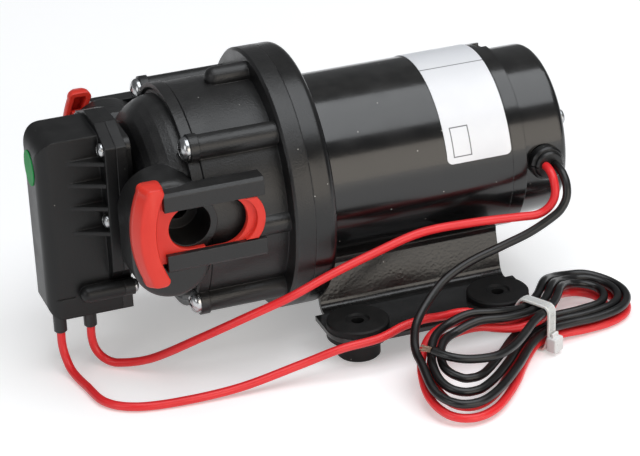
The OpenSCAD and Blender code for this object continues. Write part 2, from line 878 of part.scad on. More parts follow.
module cover_shell() {
    lip = 0.9;
    on_axis() {
        rotate_extrude() polygon(concat(
            [[0, drum_front], [cover_r, drum_front], [cover_r, cover_front - lip],
                [cover_r - 2 * lip, cover_front - lip], [cover_r - 3 * lip, cover_front]],
            arc([nose_r, cover_front], [dome_r - nose_r, -dome_depth], 0, 90, 8),
            [[0, nose_x]]));
        around(4, screw_at, 45) disc_of(lug_r, cover_front, drum_front);
    }
    both_sides() port_barrel();
}

module front_cover() {
    way_x = port_x - port_way_ahead;
    color("#1d1d1f") difference() {
        cover_shell();
        on_axis() {
            around(4, screw_at, 45) {
                disc_of(driver_r, cover_front - 2 * barrel_half, cover_front);
                disc_of(screw_r + slip, cover_front - past, drum_front + past);
            }
            ring_of(inlet_in, inlet_out, drum_front - inlet_depth, drum_front + past);
            disc_of(outlet_chamber_r, drum_front - outlet_depth, drum_front + past);
        }
        translate([cap_front, -flange_half - free_gap, 0])
            cube([switch_seam + base_flange_t + free_gap - cap_front, 2 * (flange_half + free_gap), 2 * axis_h]);
        both_sides() translate([port_x, 0, port_z]) rotate([-90, 0, 0])
            disc_of(port_r, port_face - port_depth - bore_spare, port_face + past);
        translate([port_x, 0, port_z]) rotate([90, 0, 0])
            disc_of(port_way_r, inlet_in + past, port_face);
        translate([way_x, 0, port_z]) rotate([-90, 0, 0]) disc_of(port_way_r, 0, port_face);
        translate([nose_x, 0, sense_z]) rotate([0, 90, 0])
            disc_of(sense_r, -past, drum_front - nose_x - outlet_depth + past);
    }
}

module head_screws() {
    color("#2b2b2e") on_axis() around(4, screw_at, 45) translate([0, 0, cover_front])
        pan_screw(screw_head_r, screw_head_h, screw_r, screw_len);
}

// Port clips
module clip_outline() {
    end_x = clip_rear - clip_half;
    inner_x = clip_rear - ridge_len - ridge_len - clip_open;
    difference() {
        union() {
            translate([handle_x, port_z - clip_half]) square([end_x - handle_x, 2 * clip_half]);
            translate([end_x, port_z]) circle(r = clip_half);
        }
        translate([port_x, port_z]) circle(r = port_r + free_gap);
        translate([port_x, port_z - port_r - free_gap])
            square([inner_x - port_x, 2 * (port_r + free_gap)]);
        translate([port_x + 5, port_z - clip_open]) square([inner_x - port_x - 5, 2 * clip_open]);
        translate([inner_x, port_z]) circle(r = clip_open);
    }
}

// Bowed bar of the handle, turned about the middle of its bow, with the given half section
module handle_bar(section, end_cut) {
    bow_half = asin((handle_h / 2 - handle_half - end_cut) / handle_bow_r);
    translate([handle_x + handle_bow_r, 0, port_z]) rotate([-90, 0, 0])
        rotate([0, 0, 180 - bow_half]) rotate_extrude(angle = 2 * bow_half, $fn = 192) polygon(section);
}

// Round end of the handle, coned as the bar is bevelled
module handle_end(side) {
    step = 0.15;
    round_r = handle_half - step;
    reach = handle_h / 2 - handle_half;
    end_x = handle_x + handle_bow_r - sqrt(pow(handle_bow_r, 2) - pow(reach, 2));
    translate([end_x, clip_y, port_z + side * reach]) rotate([-90, 0, 0]) {
        cylinder(r = round_r, h = handle_w - handle_bevel);
        translate([0, 0, handle_w - handle_bevel])
            cylinder(r1 = round_r, r2 = round_r - handle_bevel / 2, h = handle_bevel);
    }
}

module clip() {
    handle_out = clip_y + handle_w;
    wall = 1.8;
    low_r = handle_bow_r - handle_half;
    high_r = handle_bow_r + handle_half;
    ridge_half = lip_half - 0.4;
    difference() {
        union() {
            along_y(clip_y, clip_out) clip_outline();
            handle_bar([[low_r, clip_y], [low_r, handle_out], [high_r - handle_bevel / 2, handle_out],
                [high_r, handle_out - handle_bevel], [high_r, clip_y]], 0);
            for (side = [-1, 1]) handle_end(side);
            intersection() {
                along_y(clip_y, clip_out + ridge_t) difference() {
                    translate([clip_rear - clip_half, port_z]) circle(r = clip_half);
                    translate([clip_rear - clip_half, port_z]) circle(r = clip_half - ridge_len);
                }
                translate([clip_rear - clip_half, 0, port_z - ridge_half])
                    cube([clip_half, 2 * port_face, 2 * ridge_half]);
            }
        }
        handle_bar([[low_r + wall, clip_y - past], [low_r + wall, handle_out - wall],
            [high_r - handle_bevel / 2 - wall, handle_out - wall], [high_r - wall, handle_out - handle_bevel - wall],
            [high_r - wall, clip_y - past]], wall);
    }
}

module inlet_clip() { color("#c4261d") mirror([0, 1, 0]) clip(); }
module outlet_clip() { color("#c4261d") clip(); }

// Pressure switch
module switch_flange_outline() {
    low_half = cap_half;
    polygon([
        [-low_half, cap_low], [low_half, cap_low], [low_half, flange_low - 6],
        [flange_low_half, flange_low], [flange_half, flange_top], [flange_peak_half, flange_peak],
        [-flange_peak_half, flange_peak], [-flange_half, flange_top],
        [-flange_low_half, flange_low], [-low_half, flange_low - 6]]);
}

module switch_box(inset, front, rear) {
    edge = max(0.5, cap_edge_r - inset);
    brow = max(0.5, cap_brow_r - inset);
    intersection() {
        along_y(-cap_half + inset, cap_half - inset)
            rounded_box([front, cap_low + inset], [rear, cap_high - inset], [edge, 0, 0, brow]);
        linear_extrude(2 * cap_high)
            rounded_box([front, -cap_half + inset], [rear, cap_half - inset], [edge, 0, 0, edge]);
    }
}

module at_cap_screws() {
    for (y = [-cap_screw_y, cap_screw_y], z = cap_screw_z) translate([0, y, z]) rotate([0, 90, 0]) children();
}

module at_ears() {
    for (y = [-ear_y, ear_y]) translate([0, y, ear_z]) rotate([0, 90, 0]) children();
}

module switch_cap() {
    step_z = cap_low + 9;
    step = 0.6;
    color("#1a1a1c") difference() {
        union() {
            switch_box(0, cap_front, switch_seam);
            along_x(flange_front, switch_seam) switch_flange_outline();
            both_sides() for (z = gusset_z) translate([0, 0, z - gusset_t / 2]) linear_extrude(gusset_t)
                polygon([[flange_front - gusset_tip, cap_half - past], [flange_front - gusset_tip, cap_half],
                    [flange_front, flange_low_half], [flange_front + past, flange_low_half],
                    [flange_front + past, cap_half - past]]);
            at_ears() {
                disc_of(ear_r, flange_front - ear_len + ear_r, switch_seam);
                translate([0, 0, flange_front - ear_len + ear_r]) sphere(r = ear_r);
            }
        }
        difference() {
            switch_box(cap_wall, cap_front + cap_wall, switch_seam + past);
            translate([guide_x, -cap_half, cap_low]) cube([guide_t, 2 * cap_half, cap_high - cap_low]);
        }
        translate([guide_x - past, 0, sense_z]) rotate([0, 90, 0])
            cylinder(r = plunger_stem_r + running, h = guide_t + 2 * past);
        at_cap_screws() disc_of(cap_screw_r + slip, flange_front - past, switch_seam + past);
        at_ears() disc_of(cap_screw_r + slip, flange_front - ear_len / 2, switch_seam + past);
        for (x = sleeve_x) translate([x, sleeve_y, cap_low - past])
            cylinder(r = sleeve_r + slip, h = cap_wall + 2 * past);
        for (side = [0, 1]) mirror([0, side, 0]) translate([cap_front - past, cap_half - step, step_z - step])
            cube([cap_depth - cap_flange_t - ear_len, 2 * step, step]);
    }
}

module switch_base() {
    color("#1f1f21") difference() {
        union() {
            along_x(switch_seam, switch_seam + base_flange_t) switch_flange_outline();
            along_x(switch_seam, nose_x)
                rounded_box([-neck_half, neck_low], [neck_half, neck_high], [4, 4, 4, 4]);
            at_ears() disc_of(ear_r, switch_seam, switch_seam + base_flange_t);
        }
        translate([0, 0, sense_z]) rotate([0, 90, 0]) {
            disc_of(sense_well_r, switch_seam - past, nose_x - sense_floor);
            disc_of(sense_r, switch_seam, nose_x + past);
        }
        at_cap_screws() disc_of(cap_screw_r + slip, switch_seam - past, switch_seam + base_flange_t + past);
        at_ears() disc_of(cap_screw_r + slip, switch_seam - past, nose_x + past);
    }
}

module switch_cap_screws() {
    color("#3a3a3d") at_cap_screws() translate([0, 0, flange_front])
        pan_screw(cap_screw_head_r, cap_screw_head_h, cap_screw_r, cap_flange_t + base_flange_t - 0.5);
}

module switch_base_screws() {
    seat = switch_seam + base_flange_t;
    color("#3a3a3d") at_ears() translate([0, 0, seat]) mirror([0, 0, 1])
        pan_screw(cap_screw_head_r, cap_screw_head_h, cap_screw_r, cap_flange_t + base_flange_t);
}

module switch_diaphragm() {
    color("#141415") translate([0, 0, sense_z]) rotate([0, 90, 0])
        disc_of(sense_well_r - 0.2, nose_x - sense_floor - sense_sheet_t, nose_x - sense_floor);
}

module switch_plunger() {
    rear = nose_x - sense_floor - sense_sheet_t - free_gap;
    edge = 0.5;
    color("#d8d4c8") translate([0, 0, sense_z]) rotate([0, 90, 0]) rotate_extrude() polygon([
        [0, rear], [plunger_r, rear], [plunger_r, rear - plunger_t],
        [plunger_stem_r, rear - plunger_t], [plunger_stem_r, rear - plunger_t - plunger_stem_len + edge],
        [plunger_stem_r - edge, rear - plunger_t - plunger_stem_len],
        [0, rear - plunger_t - plunger_stem_len]]);
}

module switch_spring() {
    rear = nose_x - sense_floor - sense_sheet_t - free_gap - plunger_t;
    from = guide_x + guide_t;
    inner = plunger_stem_r + 1;
    color("#b9bbbe") translate([0, 0, sense_z]) rotate([0, 90, 0])
        ring_of(inner, inner + 1.6, from, rear);
}

module microswitch() {
    rear = nose_x - sense_floor - sense_sheet_t - free_gap - plunger_t - plunger_stem_len
        - plunger_travel - free_gap;
    button_r = 1.5;
    button = 1.2;
    color("#26262a") {
        translate([rear - button - contact_len, -cap_in + slip, sense_z - contact_h / 2])
            cube([contact_len, 2 * (cap_in - slip), contact_h]);
        translate([rear - button, 0, sense_z]) rotate([0, 90, 0]) cylinder(r = button_r, h = button);
    }
}

module seal_dot() {
    color("#2e7d4f") translate([cap_front - dot_t, 0, dot_at]) rotate([0, 90, 0]) cylinder(r = dot_r, h = dot_t);
}

module lead_sleeves() {
    edge = 0.5;
    color("#121214") for (x = sleeve_x) translate([x, sleeve_y, sleeve_end]) rotate_extrude() polygon([
        [0, 0], [sleeve_r - edge, 0], [sleeve_r, edge], [sleeve_r, sleeve_drop + sleeve_up],
        [0, sleeve_drop + sleeve_up]]);
}

// Sweeping a round lead along points
function unit(v) = v / norm(v);

function tangents(p) = [
    for (i = [0:len(p) - 1]) i == 0 ? unit(p[1] - p[0])
        : i == len(p) - 1 ? unit(p[i] - p[i - 1])
        : unit(unit(p[i + 1] - p[i]) + unit(p[i] - p[i - 1]))
];

function square_to(v, t) = unit(v - (v * t) * t);

function carried(t, n, i = 0) = i == len(t) ? [] :
    let (m = square_to(n, t[i])) concat([m], carried(t, m, i + 1));

// Smooth curve through the points, with some steps on each stretch
function curve_point(a, b, c, d, t) = 0.5 * (2 * b + (c - a) * t
    + (2 * a - 5 * b + 4 * c - d) * t * t + (3 * b - a - 3 * c + d) * t * t * t);

function smooth(p, steps) = concat([
    for (i = [0:len(p) - 2], k = [0:steps - 1])
        curve_point(p[max(i - 1, 0)], p[i], p[i + 1], p[min(i + 2, len(p) - 1)], k / steps)
], [p[len(p) - 1]]);

module tube(path, r, sides) {
    t = tangents(path);
    n = carried(t, abs(t[0][2]) < 0.9 ? [0, 0, 1] : [0, 1, 0]);
    last = len(path) - 1;
    points = [
        for (i = [0:last], k = [0:sides - 1]) let (a = 360 * k / sides)
            path[i] + r * (cos(a) * n[i] + sin(a) * cross(t[i], n[i]))
    ];
    walls = [
        for (i = [0:last - 1], k = [0:sides - 1], half = [0, 1]) let (
            a = i * sides + k, b = i * sides + (k + 1) % sides, c = a + sides, d = b + sides)
            half == 0 ? [a, c, b] : [b, c, d]
    ];
    near_end = [for (k = [1:sides - 2]) [0, k, k + 1]];
    far_end = [for (k = [1:sides - 2]) [last * sides, last * sides + k + 1, last * sides + k]];
    polyhedron(points = points, faces = concat(walls, near_end, far_end));
}

// Hank: loops drawn in at a tied waist, with a wide left lobe and a narrower right one.
// A turn starts at the far side of the waist and goes round the right lobe first.
// At the waist the far side of the loops is folded over the near side.
hank_at = [34, -66];
hank_angle = 29;
lobe_run = 0.28;
left_reach = 43;
right_reach = 37;
left_half = 25;
right_half = 17;
left_spread = 1.23;
left_shear = 0.5;
left_slope = 0.30;
right_slope = 0.14;
waist_lift = 1.5;
waist_span = 26;
fold_lift = 2 * layer_rise + 0.1;
fold_flat = 14;
fold_run = 28;
slope_span = 70;
floor_gap = 0.05;

function ease(x) = let (c = min(1, max(0, x))) c * c * (3 - 2 * c);

function lobe(f, reach, w, half) = f < lobe_run
    ? let (x = f / lobe_run) [reach * x, w + (half - w) * ease(x)]
    : f > 1 - lobe_run
        ? let (x = (1 - f) / lobe_run) [reach * x, -(w + (half - w) * ease(x))]
        : let (a = 90 - 180 * (f - lobe_run) / (1 - 2 * lobe_run)) [reach + half * cos(a), half * sin(a)];

function hank_edge(u, w) = let (
    reach = u > 0 ? right_reach : left_reach,
    half = u > 0 ? right_half : left_half,
    a = abs(u))
    a < reach ? w + (half - w) * ease(a / reach) : sqrt(max(0, half * half - pow(a - reach, 2)));

function hank_point(turn, inward, rows, rise, trim) = let (
    t = turn - floor(turn),
    w = (rows - inward) * waist_step,
    flat = t < 0.5
        ? lobe(2 * t, right_reach, w, right_half - trim[1] - loop_step * inward)
        : -lobe(2 * t - 1, left_reach, w, left_half - trim[0] - loop_step * left_spread * inward),
    u = flat[0],
    v = flat[1],
    waist = 1 - ease(abs(u) / waist_span),
    over = t < 0.25 || t >= 0.75 ? fold_lift * (1 - ease((abs(u) - fold_flat) / fold_run)) : 0,
    slope = (left_slope + (right_slope - left_slope) * ease(u / slope_span + 0.5)) * (1 - waist),
    z = lead_r + floor_gap + slope * (v + hank_edge(u, rows * waist_step)) + rise + over + waist_lift * waist,
    s = u + (u < 0 ? left_shear * v * ease(-u / left_reach) : 0))
    [hank_at[0] + s * cos(hank_angle) - v * sin(hank_angle),
        hank_at[1] + s * sin(hank_angle) + v * cos(hank_angle), z];

function hank_loops(start, turns, rings, rows, rise, trim) = [
    for (i = [0:rings]) hank_point(start + turns * i / rings, abs(turns) * i / rings, rows, rise, trim)
];

// A straight first stretch of one lead diameter, square to the run that it meets
function led_in(p) = concat([p[0] - 2 * lead_r * unit(p[1] - p[0])], p);

red_loops = led_in(hank_loops(-0.12, 2.62, 63, 1.4, 0, [0, 0]));
black_end = [[29.7, -76.7, 17], [21.6, -84.5, 16.3], [13.9, -91, 16.2], [5.4, -95.2, 16.6], [-4.6, -95.2, 17.6],
    [-11.4, -92.1, 18.6], [-16, -86, 19.3]];
black_loops = concat(led_in(hank_loops(0.78, -2.78, 67, 1.45, layer_rise, [5, 1.5])), black_end);

// Least gap of a tube to itself, from its points to its own distant stretches
function to_stretch(p, a, b) = let (t = min(1, max(0, (p - a) * (b - a) / ((b - a) * (b - a)))))
    norm(p - a - t * (b - a));

function least_gap(p, apart) = min([
    for (i = [0:len(p) - 1], j = [0:len(p) - 2]) if (abs(i - j - 0.5) > apart) to_stretch(p[i], p[j], p[j + 1])
]) - 2 * lead_r;

gap_apart = 5;
echo(red_hank_least_gap = least_gap(red_loops, gap_apart));
echo(black_hank_least_gap = least_gap(black_loops, gap_apart));

// Last stretch of a run, straight up to the loops that go on from it
function met(p) = let (ahead = unit(p[1] - p[0])) [p[0] - 2 * lead_r * ahead, p[0] - lead_gap * ahead];

// Routes of the free leads
red_from = [relief_x - red_exit, -relief_end - lead_gap, axis_h + 0.6];
black_from = [relief_x + black_exit, -relief_end - lead_gap, axis_h + 0.2];
lead_out = [0, -2 * lead_r, 0];
lead_down = [0, 0, -2 * lead_r];
sleeve_first = [sleeve_x[0], sleeve_y, sleeve_end - lead_gap];
sleeve_second = [sleeve_x[1], sleeve_y, sleeve_end - lead_gap];

red_jumper = concat([red_from, red_from + lead_out], [
    [51.5, -48, 58], [49.5, -49, 51], [45, -49, 48.5], [36, -48, 48], [17, -46, 48.5], [-4, -46, 48.5],
    [-25, -48, 44.5], [-43, -51, 41], [-60, -52, 35.5], [-75, -48, 29], [-92, -38, 18.5],
    [-109, -24, 7], [-120.5, -14, 3.2], [-125.6, -10, 6]],
    [sleeve_second + 1.6 * lead_down, sleeve_second]);

red_route = concat([sleeve_first, sleeve_first + 1.6 * lead_down], [
    [-137.5, -10, 4.5], [-136.3, -24, 1.8], [-132.8, -41.8, 1.8], [-123.4, -50.3, 1.8],
    [-106.6, -53.7, 1.9], [-83, -55, 3.2], [-58.8, -56, 8], [-42.5, -57.5, 12], [-27, -57.8, 13.2],
    [-15.5, -55.6, 15.2]],
    met(red_loops));

black_route = concat([black_from, black_from + lead_out], [
    [56, -49, 60], [56, -53, 54.5], [50.5, -53.5, 49], [39, -53, 43], [27, -52, 38.8], [14, -52, 35],
    [2.5, -54, 30.5], [-7, -59, 25], [-13.2, -66, 20.5], [-17.4, -74, 18.2]],
    met(black_loops));

run_sides = 8;
hank_sides = 6;

module red_jumper_lead() { color("#c62828") tube(smooth(red_jumper, 2), lead_r, run_sides); }
module red_supply_run() { color("#c62828") tube(smooth(red_route, 2), lead_r, run_sides); }
module red_supply_hank() { color("#c62828") tube(red_loops, lead_r, hank_sides); }
module black_supply_run() { color("#1b1b1d") tube(smooth(black_route, 2), lead_r, run_sides); }
module black_supply_hank() { color("#1b1b1d") tube(black_loops, lead_r, hank_sides); }

module bare_strands() {
    last = len(black_loops) - 1;
    ahead = unit(black_loops[last] - black_loops[last - 1]);
    strand_r = 1.1;
    strand_len = 5;
    color("#c08552") tube([black_loops[last], black_loops[last] + strand_len * ahead], strand_r, run_sides);
}

// Outline that goes round the given points at one distance, with a short arc at each
function outline_round(points, r) = let (n = len(points)) [
    for (i = [0:n - 1]) let (
        come = points[i] - points[(i + n - 1) % n],
        go = points[(i + 1) % n] - points[i],
        from = atan2(-come[0], come[1]),
        turn = atan2(-go[0], go[1]) - from)
        each arc(points[i], [r, r], from, from + turn + (turn < 0 ? 360 : 0), 3)
];

// Middles of the outer leads in the waist, from the hank's axis and the floor
tied_leads = [[-4.3, 3.1], [5.2, 3.2], [6.3, 12.9], [3.7, 17.3], [-6, 17.2], [-5.8, 7.7]];

module cable_tie() {
    tie_w = 4.4;
    band = 1.1;
    inside = lead_r + 0.25;
    at = 1;
    head = [5.6, 4.4, 6];
    head_y = -7.8;
    head_z = 1.2;
    color("#e9e9e4") translate(hank_at) rotate([0, 0, hank_angle]) translate([at - tie_w / 2, 0, 0]) {
        difference() {
            along_x(0, tie_w) polygon(outline_round(tied_leads, inside + band));
            along_x(-past, tie_w + past) polygon(outline_round(tied_leads, inside));
        }
        translate([(tie_w - head[0]) / 2, head_y - head[1], head_z]) cube(head);
    }
}

bracket();
front_left_foot();
front_right_foot();
rear_left_foot();
rear_right_foot();
motor_can();
motor_front_bell();
rear_bell();
magnets();
front_bearing();
rear_bearing();
brush_card();
brushes();
brush_springs();
through_bolts();
strain_relief();
label_plate();
motor_shaft();
armature_core();
armature_windings();
commutator();
wobble_cam();
cam_bearing();
wobble_plate();
pistons();
piston_screws();
pump_body();
diaphragm();
valve_plate();
inlet_valves();
outlet_valve();
cover_seal();
front_cover();
head_screws();
inlet_clip();
outlet_clip();
switch_base();
switch_cap();
switch_cap_screws();
switch_base_screws();
switch_diaphragm();
switch_plunger();
switch_spring();
microswitch();
seal_dot();
lead_sleeves();
red_jumper_lead();
red_supply_run();
red_supply_hank();
black_supply_run();
black_supply_hank();
bare_strands();
cable_tie();
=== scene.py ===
"""Looks, leads and studio of a caravan water pump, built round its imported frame."""

import logging
import math
from dataclasses import dataclass, field
from enum import Enum
from functools import cached_property
from typing import Any, Iterable, Mapping, Sequence

import bmesh
import bpy
from mathutils import Matrix, Vector


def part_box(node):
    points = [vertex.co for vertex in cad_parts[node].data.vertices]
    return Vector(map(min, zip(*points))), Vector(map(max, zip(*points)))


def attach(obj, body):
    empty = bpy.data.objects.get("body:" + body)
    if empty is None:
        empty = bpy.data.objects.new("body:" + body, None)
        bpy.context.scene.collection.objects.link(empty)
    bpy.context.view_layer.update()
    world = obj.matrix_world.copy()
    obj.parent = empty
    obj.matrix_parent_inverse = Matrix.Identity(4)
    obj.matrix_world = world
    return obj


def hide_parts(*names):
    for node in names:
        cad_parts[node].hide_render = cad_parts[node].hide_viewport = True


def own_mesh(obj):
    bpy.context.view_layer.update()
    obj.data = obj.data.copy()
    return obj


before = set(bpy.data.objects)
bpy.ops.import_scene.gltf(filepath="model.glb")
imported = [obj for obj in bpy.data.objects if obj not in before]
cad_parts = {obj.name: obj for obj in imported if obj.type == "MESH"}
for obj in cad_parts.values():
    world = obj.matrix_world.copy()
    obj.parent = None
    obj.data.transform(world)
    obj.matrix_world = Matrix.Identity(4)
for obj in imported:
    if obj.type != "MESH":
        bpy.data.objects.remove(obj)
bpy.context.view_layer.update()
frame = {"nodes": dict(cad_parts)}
LOG = logging.getLogger("pump")
MM = 0.001
X_AXIS, Y_AXIS, Z_AXIS = (Vector(row) for row in ((1, 0, 0), (0, 1, 0), (0, 0, 1)))
Spot = tuple[float, float, float]
Flat = tuple[float, float]


def box_of(node: str) -> tuple[Vector, Vector]:
    """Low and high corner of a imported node, in millimetres."""
    low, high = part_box(node)
    return Vector(low) / MM, Vector(high) / MM


AXIS_H = round(sum(corner.z for corner in box_of("motor_shaft")) / 2, 3)


class Body(Enum):
    """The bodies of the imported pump."""

    PUMP = "pump"
    ROTOR = "rotor"
    WOBBLER = "wobbler"
    INLET_CLIP = "inlet_clip"
    OUTLET_CLIP = "outlet_clip"


def paint(code: str) -> tuple[float, float, float, float]:
    """Linear colour of a six-digit code.

    Args:
        code: red, green and blue as two hex digits each, after a hash sign.

    Returns:
        The colour with full alpha.
    """
    parts = [int(code[i:i + 2], 16) / 255 for i in (1, 3, 5)]
    red, green, blue = (p / 12.92 if p <= 0.04045 else ((p + 0.055) / 1.055) ** 2.4 for p in parts)
    return red, green, blue, 1.0


class Graph:
    """A node tree with short calls for its nodes and links."""

    def __init__(self, tree: bpy.types.NodeTree) -> None:
        """Works in the given tree."""
        self.tree = tree

    def feed(self, socket: bpy.types.NodeSocket, value: Any) -> None:
        """Links a socket, or sets its value.

        Args:
            socket: the input to feed.
            value: another node's output, or a plain value.
        """
        if isinstance(value, bpy.types.NodeSocket):
            self.tree.links.new(value, socket)
        else:
            socket.default_value = value

    def add(self, kind: str, inputs: Mapping[Any, Any] | None = None, **options: Any) -> bpy.types.Node:
        """Adds one node.

        Args:
            kind: the node's type name.
            inputs: what feeds its sockets, by socket name or index.
            options: the node's own options.

        Returns:
            The new node.
        """
        node = self.tree.nodes.new(kind)
        for key, value in options.items():
            setattr(node, key, value)
        for key, value in (inputs or {}).items():
            self.feed(node.inputs[key], value)
        return node

    def group(self, tree: bpy.types.NodeTree, inputs: Mapping[str, Any]) -> bpy.types.Node:
        """Places a shared shader group with its own values."""
        return self.add("ShaderNodeGroup", inputs, node_tree=tree)

    def math(self, operation: str, first: Any, second: Any = 0.0) -> bpy.types.NodeSocket:
        """Result of one sum on two values or sockets."""
        return self.add("ShaderNodeMath", {0: first, 1: second}, operation=operation).outputs[0]

    def span(self, value: Any, low: float, high: float, to_low: float = 0.0,
             to_high: float = 1.0) -> bpy.types.NodeSocket:
        """Value moved from one range to another, held at its ends."""
        sockets = {"Value": value, "From Min": low, "From Max": high, "To Min": to_low, "To Max": to_high}
        return self.add("ShaderNodeMapRange", sockets).outputs[0]

    def blend(self, share: Any, first: Any, second: Any) -> bpy.types.NodeSocket:
        """Colour between two colours."""
        node = self.add("ShaderNodeMix", None, data_type="RGBA")
        self.feed(node.inputs[0], share)
        self.feed(node.inputs[6], first)
        self.feed(node.inputs[7], second)
        return node.outputs[2]

    def noise(self, place: Any, scale: float, detail: float = 2.0) -> bpy.types.NodeSocket:
        """Soft noise over a place."""
        return self.add("ShaderNodeTexNoise", {"Vector": place, "Scale": scale, "Detail": detail}).outputs[0]


def new_group(name: str, kind: str, inputs: Sequence[tuple[str, str, Any]],
              outputs: Sequence[tuple[str, str]]) -> tuple[Graph, bpy.types.Node, bpy.types.Node]:
    """Starts a node group with named sockets.

    Args:
        name: the group's name.
        kind: the tree's type name.
        inputs: name, socket type and first value of each input.
        outputs: name and socket type of each output.

    Returns:
        The group's graph, its input node and its output node.
    """
    tree = bpy.data.node_groups.new(name, kind)
    for label, socket, value in inputs:
        made = tree.interface.new_socket(label, in_out="INPUT", socket_type=socket)
        if value is not None:
            made.default_value = value
    for label, socket in outputs:
        tree.interface.new_socket(label, in_out="OUTPUT", socket_type=socket)
    graph = Graph(tree)
    return graph, graph.add("NodeGroupInput"), graph.add("NodeGroupOutput")


class Effects:
    """Shader effects that several finishes share, each built once as a node group; scales are per metre."""

    cell_scale = 0.8
    mottle_scale = 70.0
    mottle_range = (0.3, 0.7)
    rub_scale = 420.0
    rub_range = (0.42, 0.62)
    edge_range = (0.985, 0.86)
    speck_scale = 190.0
    speck_size = (0.03, 0.055)
    chosen_scale = 900.0
    chosen_range = (0.56, 0.6)
    speck_most = 0.8
    film_scale = 160.0
    film_from = 0.4
    film_most = 0.05

    @cached_property
    def grain(self) -> bpy.types.NodeTree:
        """Fine relief of a surface, and slow mottling over it."""
        graph, given, result = new_group(
            "surface_grain", "ShaderNodeTree",
            [("Pitch", "NodeSocketFloat", 0.0006), ("Cells", "NodeSocketFloat", 0.3)],
            [("Height", "NodeSocketFloat"), ("Mottle", "NodeSocketFloat")])
        place = graph.add("ShaderNodeTexCoord").outputs["Object"]
        per_metre = graph.math("DIVIDE", 1.0, given.outputs["Pitch"])
        fine = graph.add("ShaderNodeVectorMath", {0: place, "Scale": per_metre}, operation="SCALE").outputs[0]
        soft = graph.noise(fine, 1.0, 3.0)
        cell = graph.add("ShaderNodeTexVoronoi", {"Vector": fine, "Scale": self.cell_scale},
                         feature="SMOOTH_F1").outputs[0]
        part = graph.add("ShaderNodeMix", {0: given.outputs["Cells"], 2: soft, 3: cell}, data_type="FLOAT")
        slow = graph.noise(place, self.mottle_scale, 3.0)
        graph.feed(result.inputs["Height"], part.outputs[0])
        graph.feed(result.inputs["Mottle"], graph.span(slow, *self.mottle_range))
        return graph.tree

    @cached_property
    def edge(self) -> bpy.types.NodeTree:
        """Softened edges, and a broken mask of where hands and tools rub them."""
        graph, given, result = new_group(
            "rubbed_edge", "ShaderNodeTree", [("Radius", "NodeSocketFloat", 0.0005)],
            [("Rub", "NodeSocketFloat"), ("Soft Normal", "NodeSocketVector")])
        soft = graph.add("ShaderNodeBevel", {"Radius": given.outputs["Radius"]}, samples=6).outputs[0]
        plain = graph.add("ShaderNodeNewGeometry").outputs["Normal"]
        same = graph.add("ShaderNodeVectorMath", {0: soft, 1: plain}, operation="DOT_PRODUCT")
        place = graph.add("ShaderNodeTexCoord").outputs["Object"]
        broken = graph.span(graph.noise(place, self.rub_scale, 4.0), *self.rub_range)
        edge = graph.span(same.outputs["Value"], *self.edge_range)
        graph.feed(result.inputs["Rub"], graph.math("MULTIPLY", edge, broken))
        graph.feed(result.inputs["Soft Normal"], soft)
        return graph.tree

    @cached_property
    def dust(self) -> bpy.types.NodeTree:
        """Sparse bright specks and a thin film on faces that look up."""
        graph, given, result = new_group(
            "settled_dust", "ShaderNodeTree", [("Amount", "NodeSocketFloat", 0.5)],
            [("Dust", "NodeSocketFloat")])
        coordinates = graph.add("ShaderNodeTexCoord")
        place = coordinates.outputs["Object"]
        cell = graph.add("ShaderNodeTexVoronoi", {"Vector": place, "Scale": self.speck_scale}, feature="F1")
        speck = graph.span(cell.outputs["Distance"], *self.speck_size, 1.0, 0.0)
        chance = graph.noise(cell.outputs["Position"], self.chosen_scale, 0.0)
        chosen = graph.span(chance, *self.chosen_range, 0.0, self.speck_most)
        specks = graph.math("MULTIPLY", speck, chosen)
        up = graph.add("ShaderNodeSeparateXYZ", {0: coordinates.outputs["Normal"]}).outputs[2]
        level = graph.span(up, self.film_from, 1.0, 0.0, self.film_most)
        film = graph.math("MULTIPLY", level, graph.noise(place, self.film_scale, 3.0))
        both = graph.math("ADD", specks, film)
        graph.feed(result.inputs["Dust"], graph.math("MULTIPLY", both, given.outputs["Amount"]))
        return graph.tree


EFFECTS = Effects()
MATERIALS: dict[str, bpy.types.Material] = {}


